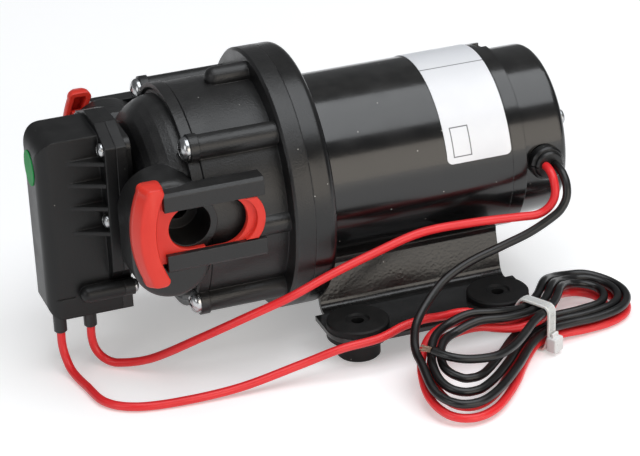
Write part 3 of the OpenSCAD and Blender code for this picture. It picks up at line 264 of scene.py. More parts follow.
@dataclass(frozen=True)
class Finish:
    """One material: its colours, its relief in millimetres and its gloss."""

    name: str
    colour: str
    shade: str
    rough: Flat = (0.4, 0.5)
    pitch: float = 0.6
    depth: float = 0.02
    cells: float = 0.3
    edge: float = 0.4
    rub: float = 0.0
    rub_colour: str = "#8c8c8e"
    dust: float = 0.0
    metallic: float = 0.0
    specular: float = 0.5
    coat: float = 0.0
    coat_rough: float = 0.1
    subsurface: float = 0.0

    def pattern(self, graph: Graph, colour: bpy.types.NodeSocket) -> bpy.types.NodeSocket:
        """The finish's own pattern on its mottled colour; a plain finish has none."""
        return colour

    def relief(self, graph: Graph, height: bpy.types.NodeSocket) -> bpy.types.NodeSocket:
        """The finish's own relief on its grain; a plain finish has none."""
        return height

    def material(self) -> bpy.types.Material:
        """Builds the material once.

        Returns:
            The material, kept after its first use.
        """
        if self.name in MATERIALS:
            return MATERIALS[self.name]
        made = bpy.data.materials.new(self.name)
        MATERIALS[self.name] = made
        made.use_nodes = True
        graph = Graph(made.node_tree)
        shader = made.node_tree.nodes["Principled BSDF"]
        grain = graph.group(EFFECTS.grain, {"Pitch": self.pitch * MM, "Cells": self.cells})
        edge = graph.group(EFFECTS.edge, {"Radius": self.edge * MM})
        mottle = grain.outputs["Mottle"]
        colour = self.pattern(graph, graph.blend(mottle, paint(self.colour), paint(self.shade)))
        if self.rub:
            rubbed = graph.math("MULTIPLY", edge.outputs["Rub"], self.rub)
            colour = graph.blend(rubbed, colour, paint(self.rub_colour))
        if self.dust:
            dust = graph.group(EFFECTS.dust, {"Amount": self.dust})
            colour = graph.blend(dust.outputs["Dust"], colour, paint("#d8d6d0"))
        graph.feed(shader.inputs["Base Color"], colour)
        graph.feed(shader.inputs["Roughness"], graph.span(mottle, 0.0, 1.0, *self.rough))
        bump = graph.add("ShaderNodeBump", {
            "Height": self.relief(graph, grain.outputs["Height"]), "Distance": self.depth * MM,
            "Normal": edge.outputs["Soft Normal"]})
        graph.feed(shader.inputs["Normal"], bump.outputs[0])
        shader.inputs["Metallic"].default_value = self.metallic
        shader.inputs["Specular IOR Level"].default_value = self.specular
        shader.inputs["Coat Weight"].default_value = self.coat
        shader.inputs["Coat Roughness"].default_value = self.coat_rough
        if self.subsurface:
            shader.inputs["Subsurface Weight"].default_value = self.subsurface
            shader.inputs["Subsurface Radius"].default_value = (1.0, 0.9, 0.8)
            shader.inputs["Subsurface Scale"].default_value = 0.002
        return made


@dataclass(frozen=True)
class BandedFinish(Finish):
    """A finish with fine bands along one axis, such as stacked sheet or wound wire."""

    axis: str = "X"
    band: float = 0.5
    band_colour: str = "#202020"
    band_share: float = 0.5

    def _bands(self, graph: Graph) -> bpy.types.NodeSocket:
        """Value from 0 to 1 across each band."""
        place = graph.add("ShaderNodeTexCoord").outputs["Object"]
        scale = 2 * math.pi / (20 * self.band * MM)
        wave = graph.add("ShaderNodeTexWave", {"Vector": place, "Scale": scale, "Distortion": 0.3},
                         bands_direction=self.axis)
        return wave.outputs["Fac"]

    def pattern(self, graph: Graph, colour: bpy.types.NodeSocket) -> bpy.types.NodeSocket:
        """Darkens the seams between bands."""
        seam = graph.span(self._bands(graph), 0.0, 0.45, self.band_share, 0.0)
        return graph.blend(seam, colour, paint(self.band_colour))

    def relief(self, graph: Graph, height: bpy.types.NodeSocket) -> bpy.types.NodeSocket:
        """Rounds each band."""
        return graph.math("ADD", graph.math("MULTIPLY", height, 0.3), self._bands(graph))


@dataclass(frozen=True)
class JacketFinish(Finish):
    """Extruded insulation, with faint lines along the lead."""

    def pattern(self, graph: Graph, colour: bpy.types.NodeSocket) -> bpy.types.NodeSocket:
        """Adds faint lighter drag lines that run along the lead."""
        uv = graph.add("ShaderNodeUVMap", None, uv_map="UVMap").outputs[0]
        drawn = graph.add("ShaderNodeMapping", {"Vector": uv, "Scale": (22.0, 30.0, 1.0)}).outputs[0]
        line = graph.span(graph.noise(drawn, 1.0, 3.0), 0.52, 0.75, 0.0, 0.22)
        return graph.blend(line, colour, paint(self.rub_colour))


@dataclass(frozen=True)
class LabelFinish(Finish):
    """Blank printed film with a rule and an empty frame."""

    rule: float = 49.5
    rule_half: float = 0.18
    frame: tuple[float, float, float, float] = (15.0, 22.3, 9.73, 21.15)

    def pattern(self, graph: Graph, colour: bpy.types.NodeSocket) -> bpy.types.NodeSocket:
        """Draws the rule across the film and the empty frame near its lower corner."""
        uv = graph.add("ShaderNodeUVMap", None, uv_map="UVMap").outputs[0]
        split = graph.add("ShaderNodeSeparateXYZ", {0: uv})
        along, girth = split.outputs[0], split.outputs[1]
        left, right, low, high = (n * MM for n in self.frame)
        past_side = graph.math("SUBTRACT", self._off(graph, along, (left + right) / 2), (right - left) / 2)
        past_end = graph.math("SUBTRACT", self._off(graph, girth, (low + high) / 2), (high - low) / 2)
        from_frame = graph.math("ABSOLUTE", graph.math("MAXIMUM", past_side, past_end))
        from_rule = self._off(graph, girth, self.rule * MM)
        nearest = graph.math("MINIMUM", from_frame, from_rule)
        half = self.rule_half * MM
        line = graph.span(nearest, half, 1.5 * half, 0.85, 0.0)
        return graph.blend(line, colour, paint("#3c3d40"))

    @staticmethod
    def _off(graph: Graph, value: Any, middle: float) -> bpy.types.NodeSocket:
        """Distance of a value from a middle."""
        return graph.math("ABSOLUTE", graph.math("SUBTRACT", value, middle))


class Finishes:
    """Every finish of the pump."""

    bracket = Finish("powder_coat_crackle", "#121213", "#1a1a1b", rough=(0.14, 0.22), pitch=0.9, depth=0.06,
        cells=0.7, edge=0.6, rub=0.25, rub_colour="#5a5a5c", dust=0.7, coat=0.2, coat_rough=0.14)
    rubber = Finish("grommet_rubber", "#0f0f10", "#161617", rough=(0.5, 0.64), pitch=0.5, cells=0.2,
        rub=0.12, rub_colour="#3a3a3c", dust=0.6, specular=0.3)
    motor = Finish("motor_enamel", "#060607", "#0a0a0b", rough=(0.15, 0.24), pitch=1.5, cells=0.2, edge=0.5,
        rub=0.1, rub_colour="#3a3a3c", dust=0.9, coat=0.35)
    bell = Finish("bell_enamel", "#09090a", "#101011", rough=(0.2, 0.32), pitch=1.2, cells=0.2, edge=0.6,
        rub=0.25, rub_colour="#4a4a4c", dust=0.7)
    head = Finish("head_moulding", "#0e0e0f", "#161617", rough=(0.3, 0.44), depth=0.13, cells=0.4, edge=0.6,
        rub=0.3, rub_colour="#545456", dust=0.6)
    cap = Finish("cap_moulding", "#0b0b0c", "#121213", rough=(0.36, 0.46), pitch=0.5, depth=0.05, cells=0.4,
        edge=0.9, rub=0.1, rub_colour="#545456", dust=0.5, specular=0.35)
    switch = Finish("switch_moulding", "#0c0c0d", "#131314", rough=(0.36, 0.48), pitch=0.5, depth=0.05,
        cells=0.4, edge=0.5, rub=0.25, rub_colour="#505052", dust=0.4)
    relief = Finish("relief_nylon", "#0c0c0d", "#131314", rough=(0.25, 0.35), pitch=0.8, depth=0.01,
        cells=0.2, rub=0.2, rub_colour="#4c4c4e", dust=0.4)
    clip = Finish("clip_moulding", "#e63a2c", "#df3226", rough=(0.32, 0.42), pitch=0.8, depth=0.012,
        rub=0.25, rub_colour="#ee7468", dust=0.15, specular=0.4)
    steel = Finish("zinc_steel", "#c9cacb", "#aeb0b2", rough=(0.2, 0.34), pitch=0.4, depth=0.008, cells=0.2,
        edge=0.25, rub=0.4, rub_colour="#f0f0f0", metallic=1.0)
    shaft = BandedFinish("ground_steel", "#b9bbbd", "#a2a4a7", rough=(0.18, 0.26), pitch=0.4, depth=0.004,
        cells=0.2, edge=0.3, rub=0.3, rub_colour="#e6e6e6", metallic=1.0, axis="X", band=0.25,
        band_colour="#8a8c8f", band_share=0.25)
    sheets = BandedFinish("stacked_sheet", "#7c7e82", "#66686c", rough=(0.34, 0.46), pitch=0.4, depth=0.03,
        cells=0.2, edge=0.3, rub=0.3, rub_colour="#b0b0b2", metallic=1.0, axis="X", band=0.5,
        band_colour="#2c2d30", band_share=0.7)
    enamelled = Finish("enamelled_wire", "#a4512a", "#8c3f1f", rough=(0.24, 0.34), pitch=0.8, depth=0.01,
        cells=0.1, edge=0.2, rub=0.2, rub_colour="#d08050", metallic=0.7, coat=0.5)
    copper = Finish("bare_copper", "#c98455", "#b4693c", rough=(0.24, 0.36), pitch=0.3, depth=0.01,
        cells=0.2, edge=0.25, rub=0.3, rub_colour="#eec4a0", metallic=1.0)
    ferrite = Finish("sintered_ferrite", "#2e2f32", "#3a3b3e", rough=(0.5, 0.62), pitch=0.35, depth=0.04,
        cells=0.5, edge=0.3, rub=0.3, rub_colour="#5c5d60")
    inner = Finish("filled_moulding", "#3a3733", "#45413c", rough=(0.42, 0.52), pitch=0.5, depth=0.03,
        cells=0.4, edge=0.3, rub=0.2, rub_colour="#6c6862")
    seal = Finish("smooth_rubber", "#101011", "#171718", depth=0.012, cells=0.2, edge=0.3, rub=0.1,
        rub_colour="#3c3c3e", dust=0.2, specular=0.4)
    sleeve = Finish("shrink_sleeve", "#0b0b0c", "#121213", rough=(0.3, 0.4), pitch=1.6, depth=0.03,
        cells=0.2, rub=0.1, rub_colour="#3c3c3e", dust=0.3)
    pale = Finish("natural_acetal", "#d9d2c2", "#cfc7b6", rough=(0.36, 0.46), depth=0.015, edge=0.3,
        rub=0.2, rub_colour="#f0ece2", subsurface=0.15)
    green = Finish("seal_film", "#1c9a4c", "#178a42", rough=(0.5, 0.6), pitch=1.4, depth=0.006, cells=0.2,
        edge=0.2, rub=0.2, rub_colour="#6ac08c", dust=0.2, specular=0.15)
    label = LabelFinish("rating_label", "#f3f4f7", "#eeeff3", rough=(0.3, 0.4), pitch=1.8, depth=0.004,
        cells=0.2, edge=0.12, rub=0.2, rub_colour="#ffffff")
    red_lead = JacketFinish("red_jacket", "#f02c30", "#e6262b", rough=(0.28, 0.38), pitch=1.0, depth=0.01,
        cells=0.2, edge=0.3, rub=0.1, rub_colour="#f8686a")
    black_lead = JacketFinish("black_jacket", "#0b0b0c", "#111112", rough=(0.26, 0.38), pitch=1.0,
        depth=0.01, cells=0.2, edge=0.3, rub=0.1, rub_colour="#3a3a3c", dust=0.3)
    nylon = Finish("natural_nylon", "#f6f5f0", "#efeee8", rough=(0.3, 0.4), pitch=1.2, depth=0.01,
        cells=0.2, edge=0.3, rub=0.1, rub_colour="#ffffff", subsurface=0.5)
    tinned = Finish("tinned_strand", "#c3ab98", "#a58a74", rough=(0.26, 0.38), pitch=0.3, depth=0.01,
        cells=0.2, edge=0.1, rub=0.2, rub_colour="#ead9cc", metallic=1.0)


def dress(finish: Finish, *nodes: str) -> None:
    """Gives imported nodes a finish.

    Args:
        finish: the finish to wear.
        nodes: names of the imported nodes.
    """
    for name in nodes:
        mesh = frame["nodes"][name].data
        mesh.materials.clear()
        mesh.materials.append(finish.material())
        LOG.info("dressed %s in %s", name, finish.name)


def place_piece(mesh: bpy.types.Mesh, name: str, finish: Finish, body: Body, slot: str,
                *nodes: str) -> bpy.types.Object:
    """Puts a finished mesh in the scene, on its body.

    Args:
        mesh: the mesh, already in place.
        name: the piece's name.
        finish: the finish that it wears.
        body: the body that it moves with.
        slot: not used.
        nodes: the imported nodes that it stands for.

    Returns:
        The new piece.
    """
    piece = bpy.data.objects.new(name, mesh)
    bpy.context.scene.collection.objects.link(piece)
    if not mesh.materials:
        mesh.materials.append(finish.material())
    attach(piece, body.value)
    if nodes:
        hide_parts(*nodes)
    LOG.info("built %s with %d faces", name, len(mesh.polygons))
    return piece


class Recipes:
    """Geometry node trees that repeat a shape or follow a path, each built once."""

    @staticmethod
    def _end(graph: Graph, result: bpy.types.Node, shape: bpy.types.NodeSocket,
             given: bpy.types.Node) -> None:
        """Makes real meshes of the instances and dresses them."""
        real = graph.add("GeometryNodeRealizeInstances", {"Geometry": shape}).outputs[0]
        worn = graph.add("GeometryNodeSetMaterial", {"Geometry": real, "Material": given.outputs["Finish"]})
        graph.feed(result.inputs[0], worn.outputs[0])

    @cached_property
    def wire(self) -> bpy.types.NodeTree:
        """Round wire along every path of edges."""
        graph, given, result = new_group(
            "drawn_wire", "GeometryNodeTree",
            [("Paths", "NodeSocketGeometry", None), ("Wire Radius", "NodeSocketFloat", 0.0005),
             ("Sides", "NodeSocketInt", 8), ("Finish", "NodeSocketMaterial", None)],
            [("Wire", "NodeSocketGeometry")])
        path = graph.add("GeometryNodeMeshToCurve", {"Mesh": given.outputs["Paths"]}).outputs[0]
        ring = graph.add("GeometryNodeCurvePrimitiveCircle", {
            "Resolution": given.outputs["Sides"], "Radius": given.outputs["Wire Radius"]}).outputs[0]
        tube = graph.add("GeometryNodeCurveToMesh", {
            "Curve": path, "Profile Curve": ring, "Fill Caps": True}).outputs[0]
        self._end(graph, result, tube, given)
        return graph.tree

    @cached_property
    def screws(self) -> bpy.types.NodeTree:
        """One cross-recessed screw on each seat, each turned by chance about its own axis."""
        graph, given, result = new_group(
            "set_screws", "GeometryNodeTree",
            [("Seats", "NodeSocketGeometry", None), ("Blank", "NodeSocketObject", None),
             ("Axis", "NodeSocketVector", (0.0, 0.0, 1.0)), ("Head Height", "NodeSocketFloat", 0.003),
             ("Arm Length", "NodeSocketFloat", 0.005), ("Arm Width", "NodeSocketFloat", 0.001),
             ("Recess Depth", "NodeSocketFloat", 0.002), ("Seed", "NodeSocketInt", 0),
             ("Finish", "NodeSocketMaterial", None)],
            [("Screws", "NodeSocketGeometry")])
        blank = graph.add("GeometryNodeObjectInfo", {"Object": given.outputs["Blank"]}).outputs["Geometry"]
        length, width, depth = (given.outputs[n] for n in ("Arm Length", "Arm Width", "Recess Depth"))
        top = graph.add("ShaderNodeCombineXYZ", {2: given.outputs["Head Height"]}).outputs[0]
        deep = graph.math("MULTIPLY", depth, 2.0)
        arms = []
        for sides in ({0: length, 1: width, 2: deep}, {0: width, 1: length, 2: deep}):
            size = graph.add("ShaderNodeCombineXYZ", sides).outputs[0]
            bar = graph.add("GeometryNodeMeshCube", {"Size": size}).outputs[0]
            arms.append(graph.add("GeometryNodeTransform", {"Geometry": bar, "Translation": top}).outputs[0])
        cut = graph.add("GeometryNodeMeshBoolean", {"Mesh 1": blank}, operation="DIFFERENCE",
                        solver="EXACT")
        for arm in arms:
            graph.feed(cut.inputs["Mesh 2"], arm)
        aim = graph.add("FunctionNodeAlignRotationToVector", {"Vector": given.outputs["Axis"]}, axis="Z")
        chance = graph.add("FunctionNodeRandomValue", {2: 0.0, 3: math.pi, "Seed": given.outputs["Seed"]})
        spin = graph.add("FunctionNodeAxisAngleToRotation", {"Axis": Z_AXIS, "Angle": chance.outputs[1]})
        turn = graph.add("FunctionNodeRotateRotation", {
            "Rotation": aim.outputs[0], "Rotate By": spin.outputs[0]}, rotation_space="LOCAL")
        placed = graph.add("GeometryNodeInstanceOnPoints", {
            "Points": given.outputs["Seats"], "Instance": cut.outputs[0], "Rotation": turn.outputs[0]})
        self._end(graph, result, placed.outputs[0], given)
        return graph.tree

    @cached_property
    def strap(self) -> bpy.types.NodeTree:
        """Flat strap along a closed path, with a row of low teeth on its outer face."""
        graph, given, result = new_group(
            "toothed_strap", "GeometryNodeTree",
            [("Path", "NodeSocketGeometry", None), ("Side", "NodeSocketVector", (1.0, 0.0, 0.0)),
             ("Width", "NodeSocketFloat", 0.004), ("Thickness", "NodeSocketFloat", 0.001),
             ("Tooth Pitch", "NodeSocketFloat", 0.0011), ("Tooth Size", "NodeSocketVector", (0.0, 0.0, 0.0)),
             ("Finish", "NodeSocketMaterial", None)],
            [("Strap", "NodeSocketGeometry")])
        path = graph.add("GeometryNodeMeshToCurve", {"Mesh": given.outputs["Path"]}).outputs[0]
        side, thickness = given.outputs["Side"], given.outputs["Thickness"]
        level = graph.add("GeometryNodeSetCurveNormal", {"Curve": path, "Normal": side},
                          mode="FREE").outputs[0]
        section = graph.add("GeometryNodeCurvePrimitiveQuadrilateral", {
            "Width": given.outputs["Width"], "Height": thickness}).outputs[0]
        band = graph.add("GeometryNodeCurveToMesh", {"Curve": level, "Profile Curve": section}).outputs[0]
        spots = graph.add("GeometryNodeCurveToPoints", {
            "Curve": level, "Length": given.outputs["Tooth Pitch"]}, mode="LENGTH")
        tooth = graph.add("GeometryNodeMeshCube", {"Size": given.outputs["Tooth Size"]}).outputs[0]
        tangent = spots.outputs["Tangent"]
        outward = graph.add("ShaderNodeVectorMath", {0: tangent, 1: side},
                            operation="CROSS_PRODUCT").outputs[0]
        lift = graph.math("MULTIPLY", thickness, 0.5)
        raised = graph.add("ShaderNodeVectorMath", {0: outward, "Scale": lift}, operation="SCALE").outputs[0]
        spread = graph.add("GeometryNodeSetPosition", {
            "Geometry": spots.outputs["Points"], "Offset": raised}).outputs[0]
        aim = graph.add("FunctionNodeAxesToRotation", {"Primary Axis": tangent, "Secondary Axis": side},
                        primary_axis="Z", secondary_axis="X").outputs[0]
        teeth = graph.add("GeometryNodeInstanceOnPoints", {
            "Points": spread, "Instance": tooth, "Rotation": aim}).outputs[0]
        whole = graph.add("GeometryNodeJoinGeometry")
        for shape in (band, teeth):
            graph.feed(whole.inputs[0], shape)
        self._end(graph, result, whole.outputs[0], given)
        return graph.tree


RECIPES = Recipes()


def paths_mesh(name: str, paths: Iterable[Sequence[Vector]], closed: bool = False) -> bpy.types.Mesh:
    """Mesh of bare edges along paths.

    Args:
        name: the mesh's name.
        paths: the points of each path, in metres.
        closed: whether each path ends where it starts.

    Returns:
        The mesh of edges.
    """
    points: list[Vector] = []
    edges: list[tuple[int, int]] = []
    for path in paths:
        first = len(points)
        points += path
        edges += [(i, i + 1) for i in range(first, len(points) - 1)]
        if closed:
            edges.append((len(points) - 1, first))
    mesh = bpy.data.meshes.new(name)
    mesh.from_pydata(points, edges, [])
    return mesh


def shaded(mesh: bpy.types.Mesh, sharp: float | None = None) -> bpy.types.Mesh:
    """Shades a mesh smooth, but for edges above an angle in degrees."""
    mesh.polygons.foreach_set("use_smooth", [True] * len(mesh.polygons))
    if sharp is not None:
        mesh.set_sharp_from_angle(angle=math.radians(sharp))
    return mesh


def closed_mesh(shape: bmesh.types.BMesh, name: str) -> bpy.types.Mesh:
    """Mesh of a closed shape, with its faces turned outwards; the shape is used up."""
    bmesh.ops.recalc_face_normals(shape, faces=shape.faces)
    mesh = bpy.data.meshes.new(name)
    shape.to_mesh(mesh)
    shape.free()
    return mesh


def bridge(shape: bmesh.types.BMesh, low: Sequence[bmesh.types.BMVert],
           high: Sequence[bmesh.types.BMVert]) -> list[bmesh.types.BMFace]:
    """Faces between two rings of as many corners; a ring may be one point over and over."""
    made = []
    for k, corner in enumerate(low):
        n = (k + 1) % len(low)
        corners = dict.fromkeys((corner, low[n], high[n], high[k]))
        made.append(shape.faces.new(list(corners)))
    return made


def circle(sides: int) -> list[Flat]:
    """Corners of a round of radius 1."""
    turns = [2 * math.pi * k / sides for k in range(sides)]
    return [(math.cos(a), math.sin(a)) for a in turns]


def grown(mesh: bpy.types.Mesh, tree: bpy.types.NodeTree, values: Mapping[str, Any],
          sharp: float | None = None) -> bpy.types.Mesh:
    """Plain mesh that a geometry node tree makes of another mesh.

    Args:
        mesh: the mesh that the tree starts from.
        tree: the tree, with its geometry as its first input.
        values: the tree's other inputs, by name.
        sharp: angle in degrees above which an edge stays sharp; all smooth if left out.

    Returns:
        The made mesh, with its finish.
    """
    carrier = bpy.data.objects.new(mesh.name, mesh)
    bpy.context.scene.collection.objects.link(carrier)
    modifier = carrier.modifiers.new(tree.name, "NODES")
    modifier.node_group = tree
    for socket in tree.interface.items_tree:
        if socket.in_out == "INPUT" and socket.name in values:
            modifier[socket.identifier] = values[socket.name]
    carrier.update_tag()
    graph = bpy.context.evaluated_depsgraph_get()
    made = bpy.data.meshes.new_from_object(carrier.evaluated_get(graph))
    carrier.modifiers.remove(modifier)
    bpy.data.objects.remove(carrier)
    return shaded(made, sharp)


def turned(name: str, profile: Sequence[Flat], sides: int) -> bpy.types.Mesh:
    """Mesh of a profile turned about Z.

    Args:
        name: the mesh's name.
        profile: radius and height of each step in metres, from one end on the axis to the other.
        sides: steps round the axis.

    Returns:
        The closed mesh.
    """
    shape = bmesh.new()
    rings: list[list[bmesh.types.BMVert]] = []
    for radius, height in profile:
        if radius == 0:
            rings.append([shape.verts.new((0, 0, height))] * sides)
        else:
            rings.append([shape.verts.new((radius * x, radius * y, height)) for x, y in circle(sides)])
    for low, high in zip(rings, rings[1:]):
        bridge(shape, low, high)
    return closed_mesh(shape, name)


@dataclass(frozen=True)
class Lamp:
    """One soft box, in metres and watts."""

    name: str
    place: Spot
    target: Spot
    size: Flat
    power: float
    colour: Spot = (1.0, 1.0, 1.0)

    def build(self) -> None:
        """Hangs the lamp and turns it to its target."""
        data = bpy.data.lights.new(self.name, "AREA")
        data.color = self.colour
        data.shape = "RECTANGLE"
        data.size, data.size_y = self.size
        data.energy = self.power
        lamp = bpy.data.objects.new(self.name, data)
        lamp.location = self.place
        lamp.rotation_mode = "QUATERNION"
        lamp.rotation_quaternion = (Vector(self.target) - Vector(self.place)).to_track_quat("-Z", "Y")
        bpy.context.scene.collection.objects.link(lamp)


@dataclass
class Studio:
    """Pale floor, soft lamps and the camera at the photograph's angle."""

    eye: Spot = (-330.7153, -888.4499, 482.136)
    right: Spot = (0.9391, -0.3409, -0.0439)
    ahead: Spot = (0.2904, 0.8551, -0.4296)
    lens: float = 146.116
    sensor: float = 36.0
    clip_start: float = 0.01
    floor_half: float = 4.0
    floor_gap: float = 0.0002
    floor_tones: Flat = (0.93, 0.95)
    floor_patches: float = 6.0
    floor_rough: float = 0.6
    floor_gloss: float = 0.2
    floor_glow: float = 0.32
    sky: Spot = (0.95, 0.97, 1.0)
    sky_strength: float = 0.16
    lamps: tuple[Lamp, ...] = (
        Lamp("overhead_box", place=(0.6, -0.6, 2.44), target=(0.6, -0.5, 0.06), size=(2.6, 2.5), power=53.6,
             colour=(0.94, 0.97, 1.0)),
        Lamp("left_box", place=(-1.1, -0.55, 0.6), target=(-0.08, 0.0, 0.06), size=(0.5, 0.7), power=2.5),
        Lamp("front_card", place=(0.35, -1.3, 0.39), target=(0.0, 0.0, 0.06), size=(1.3, 0.74), power=6.8,
             colour=(1.0, 0.92, 0.82)))

    def build(self) -> None:
        """Makes the camera, the floor, the lamps and the world."""
        self._camera()
        self._floor()
        self._world()
        for lamp in self.lamps:
            lamp.build()
        bpy.context.scene.view_settings.view_transform = "Standard"
        LOG.info("studio ready")

    def _camera(self) -> None:
        """Places the camera from its three axes."""
        ahead, right = Vector(self.ahead).normalized(), Vector(self.right)
        right = (right - right.dot(ahead) * ahead).normalized()
        up = right.cross(ahead)
        data = bpy.data.cameras.new("photo_camera")
        data.lens = self.lens
        data.sensor_width = self.sensor
        data.clip_start = self.clip_start
        camera = bpy.data.objects.new("photo_camera", data)
        turn = Matrix((right, up, -ahead)).transposed().to_4x4()
        camera.matrix_world = Matrix.Translation(Vector(self.eye) * MM) @ turn
        bpy.context.scene.collection.objects.link(camera)
        bpy.context.scene.camera = camera

    def _floor(self) -> None:
        """Lays the pale floor just under the feet; from below, it lets the underside be seen."""
        half, low = self.floor_half, -self.floor_gap
        mesh = bpy.data.meshes.new("floor")
        corners = [(-half, -half, low), (half, -half, low), (half, half, low), (-half, half, low)]
        mesh.from_pydata(corners, [], [(0, 1, 2, 3)])
        material = bpy.data.materials.new("pale_floor")
        material.use_nodes = True
        graph = Graph(material.node_tree)
        shader = material.node_tree.nodes["Principled BSDF"]
        place = graph.add("ShaderNodeTexCoord").outputs["Object"]
        dark, pale = ((tone, tone, tone, 1.0) for tone in self.floor_tones)
        tone = graph.blend(graph.noise(place, self.floor_patches), dark, pale)
        graph.feed(shader.inputs["Base Color"], tone)
        shader.inputs["Roughness"].default_value = self.floor_rough
        shader.inputs["Specular IOR Level"].default_value = self.floor_gloss
        path = graph.add("ShaderNodeLightPath")
        seen = graph.math("MAXIMUM", path.outputs["Is Camera Ray"], path.outputs["Is Glossy Ray"])
        seen = graph.math("MAXIMUM", seen, path.outputs["Is Transmission Ray"])
        shader.inputs["Emission Color"].default_value = (1.0, 1.0, 1.0, 1.0)
        graph.feed(shader.inputs["Emission Strength"], graph.math("MULTIPLY", seen, self.floor_glow))
        clear = graph.add("ShaderNodeBsdfTransparent").outputs[0]
        under = graph.add("ShaderNodeNewGeometry").outputs["Backfacing"]
        sides = graph.add("ShaderNodeMixShader", {0: under, 1: shader.outputs[0], 2: clear})
        graph.feed(material.node_tree.nodes["Material Output"].inputs["Surface"], sides.outputs[0])
        mesh.materials.append(material)
        floor = bpy.data.objects.new("floor", mesh)
        bpy.context.scene.collection.objects.link(floor)

    def _world(self) -> None:
        """Fills the room with an even pale light."""
        world = bpy.data.worlds.new("studio")
        world.use_nodes = True
        sky = world.node_tree.nodes["Background"]
        sky.inputs["Color"].default_value = (*self.sky, 1.0)
        sky.inputs["Strength"].default_value = self.sky_strength
        bpy.context.scene.world = world


def smoothed(points: Sequence[Vector], steps: int) -> list[Vector]:
    """Smooth curve through points.

    Args:
        points: the points, in order.
        steps: steps on each stretch between two points.

    Returns:
        The curve's points, with the first and last of the given ones.
    """
    last = len(points) - 1
    made = []
    for i in range(last):
        a, b, c, d = points[max(i - 1, 0)], points[i], points[i + 1], points[min(i + 2, last)]
        for k in range(steps):
            t = k / steps
            made.append(0.5 * (2 * b + (c - a) * t + (2 * a - 5 * b + 4 * c - d) * t * t
                               + (3 * b - a - 3 * c + d) * t ** 3))
    return made + [points[last]]


def bend_radius(a: Vector, b: Vector, c: Vector, straight: float = 1e-9) -> float:
    """Radius of the circle through three points of a path, endless where their triangle is straight."""
    area = (b - a).cross(c - a).length / 2
    if area < straight:
        return math.inf
    return (b - a).length * (c - b).length * (c - a).length / (4 * area)


def eased(points: Sequence[Vector], step: float, least: float, most: float, rounds: int = 150,
          apart: int = 2, around: int = 3) -> list[Vector]:
    """Path in even steps, with the bends that are too tight drawn in.

    Args:
        points: the path.
        step: length of a step.
        least: the tightest bend's radius.
        most: how far a point may move.
        rounds: how often the path is gone over.
        apart: steps between the points that a bend is measured on.
        around: steps on each side that move with a tight point, and that stay still at each end.

    Returns:
        The eased path, with the same two ends.
    """
    even = [points[0]]
    for a, b in zip(points, points[1:]):
        count = max(1, round((b - a).length / step))
        even += [a.lerp(b, (k + 1) / count) for k in range(count)]
    made = list(even)
    inner = range(around, len(made) - around)
    for _ in range(rounds):
        bends = [i for i in inner if bend_radius(made[i - apart], made[i], made[i + apart]) < least]
        tight = {i + k for i in bends for k in range(-around, around + 1)}
        before = list(made)
        for i in tight.intersection(inner):
            move = before[i].lerp((before[i - 1] + before[i + 1]) / 2, 0.5) - even[i]
            made[i] = even[i] + move * min(1.0, most / max(move.length, most))
    return made


def swept(name: str, path: Sequence[Vector], radius: float, sides: int, steep: float = 0.9) -> bpy.types.Mesh:
    """Round tube along a path, with a map of its length and its girth.

    Args:
        name: the mesh's name.
        path: the tube's middle, in metres.
        radius: the tube's radius.
        sides: corners of its section.
        steep: rise of a first step that is too upright to take its up from Z.

    Returns:
        The closed mesh.
    """
    last = len(path) - 1
    shape = bmesh.new()
    layer = shape.loops.layers.uv.new("UVMap")
    rings: list[list[bmesh.types.BMVert]] = []
    runs = [0.0]
    up = Z_AXIS if abs((path[1] - path[0]).normalized().z) < steep else Y_AXIS
    for i, point in enumerate(path):
        ahead = (path[min(i + 1, last)] - path[max(i - 1, 0)]).normalized()
        up = (up - up.dot(ahead) * ahead).normalized()
        side = ahead.cross(up)
        rings.append([shape.verts.new(point + radius * (x * up + y * side)) for x, y in circle(sides)])
        if i:
            runs.append(runs[-1] + (point - path[i - 1]).length)
    for i in range(last):
        for k, face in enumerate(bridge(shape, rings[i], rings[i + 1])):
            face.smooth = True
            corners = ((k, i), (k + 1, i), (k + 1, i + 1), (k, i + 1))
            for loop, (around, along) in zip(face.loops, corners):
                loop[layer].uv = (around / sides, runs[along])
    shape.faces.new(list(reversed(rings[0])))
    shape.faces.new(rings[last])
    return closed_mesh(shape, name)


@dataclass(frozen=True)
class Layer:
    """One lead's loops in the hank.

    They start at a share of a turn and make turns, negative for the other way round, in so many steps.
    Rows of leads lie on each side of the waist. The layer rises above the floor's, and its left and right
    lobes are trimmed.
    """

    start: float
    turns: float
    steps: int
    rows: float
    rise: float = 0.0
    trim: Flat = (0.0, 0.0)


